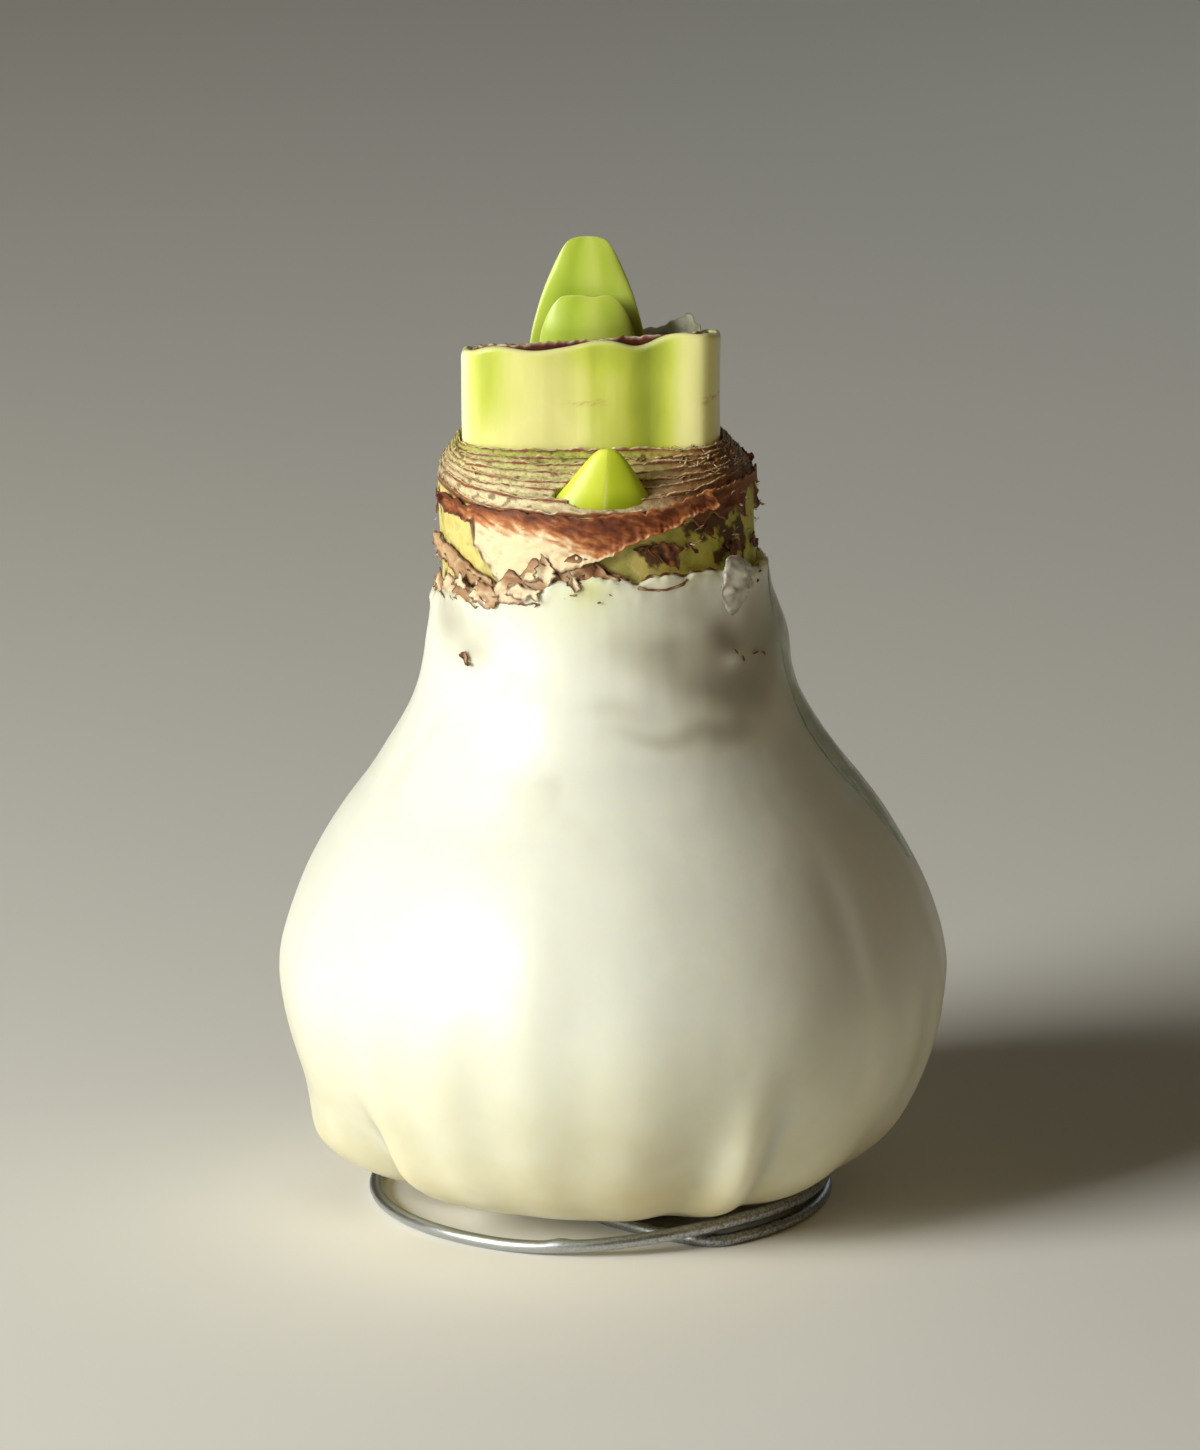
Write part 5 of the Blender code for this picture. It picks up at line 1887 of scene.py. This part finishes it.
        line = SkinPiece(
            self.form, "rim_line_right",
            upper=tuple((d, float(self.form.rim_height(d)) + 0.35) for d in range(276, 345)),
            lower=tuple((d, float(self.form.rim_height(d)) - 0.8) for d in range(276, 345)),
            lift=0.9, crumple=0.2, crumple_mm=2.4, ragged=0.35, seed=33.0, step=0.3, rows=10,
            thickness=0.16, curl=0.5, lip_mm=0.25, bleach=lambda d, z: 0.45 + 0.3 * np.sin(d))
        dress(line.build(), straw, Slot.SKIN.value)
        under = SkinPiece(
            self.form, "skin_edge_under_wax", on_wax=True,
            upper=((283, 103.0), (287, 102.5), (293, 102.3), (299, 102.8), (302, 103.4)),
            lower=((283, 102.7), (287, 102.1), (293, 101.9), (299, 102.4), (302, 103.1)),
            lift=0.2, curl=0.0, crumple=0.0, ragged=0.1, seed=37.0, rows=6, step=0.3,
            thickness=0.16, lip_mm=0.12, bleach=lambda d, z: 0.5 + 0.2 * np.sin(d))
        dress(under.build(), straw, Slot.SKIN.value)
        scab = SkinPiece(
            self.form, "wax_scab", on_wax=True,
            upper=((217.5, 90.5), (219.5, 91.0), (221.5, 90.3), (224, 89.3)),
            lower=((217.5, 90.2), (219.5, 89.7), (222, 89.0), (224, 88.8)),
            lift=0.3, curl=0.25, crumple=0.12, crumple_mm=1.0, ragged=0.25, seed=41.0, rows=14,
            step=0.2, thickness=0.16, lip_mm=0.3, bleach=lambda d, z: 0.35 + 0.3 * np.sin(d * 2))
        dress(scab.build(), straw, Slot.SKIN.value)

    def perch(self, surface: Callable[..., Array], degrees: float, z: float,
              lift: float) -> tuple[Array, Array]:
        """Finds where a sliver sits.

        Args:
            surface: the form's method that gives the surface it sits on.
            degrees: its angle.
            z: its height.
            lift: how far outside the surface it is.
        Returns:
            The spot, and the unit vector out of the surface there.
        """
        angle, height = np.array([float(degrees)]), np.array([float(z)])
        spot = surface(angle, height, lift)[0]
        return spot, unit(spot - surface(angle, height, -3.0)[0])

    def flecks(self) -> bpy.types.Object:
        """Small pale and brown slivers that stick out of the skin and the wax rim.

        Returns:
            The object.
        """
        bundle = Bundle()
        draw = np.random.default_rng(11)
        fixed = [(191, 106.9, 0.7), (192, 108.6, 0.4), (352, 110.6, 0.9), (347, 108.6, 0.5)]
        spread = [(draw.uniform(190, 282), draw.normal(102.4, 1.2), 0.5) for _ in range(34)]
        spread += [(draw.normal(328, 14), draw.uniform(108, 115), 0.4) for _ in range(26)]
        for degrees, z, lift in fixed + spread:
            spot, out = self.perch(self.form.neck, degrees, z, 0.55 + lift)
            along = unit(heading(degrees, draw.uniform(-1.2, 1.2)) + out * lift * 1.3)
            out = unit(out - along * np.dot(out, along))
            size = (draw.uniform(0.5, 1.8), draw.uniform(0.15, 0.5), 0.12)
            bundle.sliver(spot, along, out, size, draw.uniform(0.0, 0.4),
                          bleach=draw.uniform(0.1, 1.0), lip=draw.uniform(0.0, 0.3))
        return bundle.build("skin_flecks")

    def cracks(self) -> bpy.types.Object:
        """The short dark splits in the wax on the right, and its two brown specks.

        Returns:
            The object.
        """
        bundle = Bundle()
        for degrees, z, length, tilt in ((318.5, 90.9, 1.6, -0.9), (321.5, 89.6, 1.3, -1.3),
                                         (329, 89.8, 1.9, 0.1), (334, 89.2, 1.6, -0.6),
                                         (270, 100.6, 0.7, 0.3), (338, 100.0, 0.7, 1.0)):
            spot, out = self.perch(self.form.on_wax, degrees, z, 0.28)
            along = heading(degrees, tilt)
            along = unit(along - out * np.dot(out, along))
            bundle.sliver(spot, along, out, (length, 0.34, 0.4), -0.1, bleach=0.15, lip=0.0)
        return bundle.build("wax_cracks")

    def build(self) -> None:
        """Makes and dresses every piece."""
        self.tunics()
        self.shreds()
        scrap = PaperySkin("skin_fleck_straw", "#4A2A16", "#A9804E", "#F1E4C4", "#F6EEDA")
        scrap = scrap.material()
        dress(self.flecks(), scrap, Slot.SKIN.value)
        dress(self.cracks(), scrap, Slot.SKIN.value)


def main() -> None:
    """Builds every sub-assembly in order and dresses it."""
    logging.basicConfig(level=logging.INFO, format="%(message)s")
    LOG.info("frame: %d CAD nodes", len(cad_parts))
    Studio().build()
    form = DippedForm()
    sheath = NeckSheath()
    bud = FrontBud()
    rings = ScaleRings(form, sheath=sheath, bud=bud)
    wax = WaxCoat(form)
    green = LeafTissue("leaf_base_green", "#7C8E1C", "#C8D24E", "#F5F3A4", "#F8F5D2")
    tip = LeafTissue("leaf_tip_green", "#8DA62A", "#B7CC48", "#CFDC6E", "#E2E9A8")
    lime = LeafTissue("bud_lime", "#9CAE1C", "#C6D436", "#E2EC58", "#E9EC90")

    dress(WireStand().build(), GalvanisedWire().material(), Slot.WIRE.value, "wire_stand")
    dress(wax.build(), DippedWax().material(), Slot.WAX.value, "wax_coat")
    drop = ClearWax("clear_wax_drop_film", "#F3F1E8", "#C6C0B4", 0.6, 0.15)
    dress(wax.chip(), drop.material(), Slot.WAX.value)
    film = ClearWax("clear_wax_run_film", "#EEF5EC", "#D3E5DA", 0.2, 0.2)
    dress(wax.run(), film.material(), Slot.WAX.value)
    dress(rings.build(), ScaleFlesh().material(), Slot.FLESH.value, "bulb")
    # Its pale lip colour also gives the scale edges their pale tops, partly a painted highlight.
    lips = PaperySkin("scale_lip", "#4A2412", "#8A5428", "#E8D3A2", "#FFF0C8",
                      relief=0.2).material()
    dress(rings.edges(), lips, Slot.FLESH.value)
    dress(rings.crumbs(), lips, Slot.FLESH.value)
    dress(sheath.build(), green.material(), Slot.LEAF.value, "neck_sheath")
    inner = InnerScale(sheath)
    dry = PaperySkin("inner_scale_brown", "#35140A", "#6E2C12", "#C09468", "#E9DCC8",
                     "#95522C", along=(1.0, 1.0, 0.3))
    dress(inner.build(), dry.material(), Slot.SCALE.value, "inner_scale")
    dress(inner.flap(), TornMembrane().material(), Slot.SCALE.value)
    tall = LeafTip(
        "leaf_tip_tall_leaf",
        ((1.6, 0.15), (3.0, 0.75), (4.1, 2.3), (5.6, 5.4), (6.9, 8.7), (7.9, 12.0), (8.6, 15.0),
         (8.9, 18.0)), top=151.1, x=-3.9, y=2.0, thickness=3.0, bend=-18.0)
    dress(tall.build(), tip.material(), Slot.LEAF.value, "leaf_tip_tall")
    short = LeafTip(
        "leaf_tip_short_leaf",
        ((3.0, 0.1), (4.3, 0.6), (5.6, 2.2), (6.6, 4.4), (7.2, 6.6), (7.3, 9.0)),
        top=142.8, x=-3.9, y=-2.0, thickness=2.6, bend=16.0, notch=0.35)
    dress(short.build(), tip.material(), Slot.LEAF.value, "leaf_tip_short")
    dress(bud.build(), lime.material(), Slot.BUD.value, "front_bud")
    DrySkins(form).build()


if __name__ == "__main__":
    main()
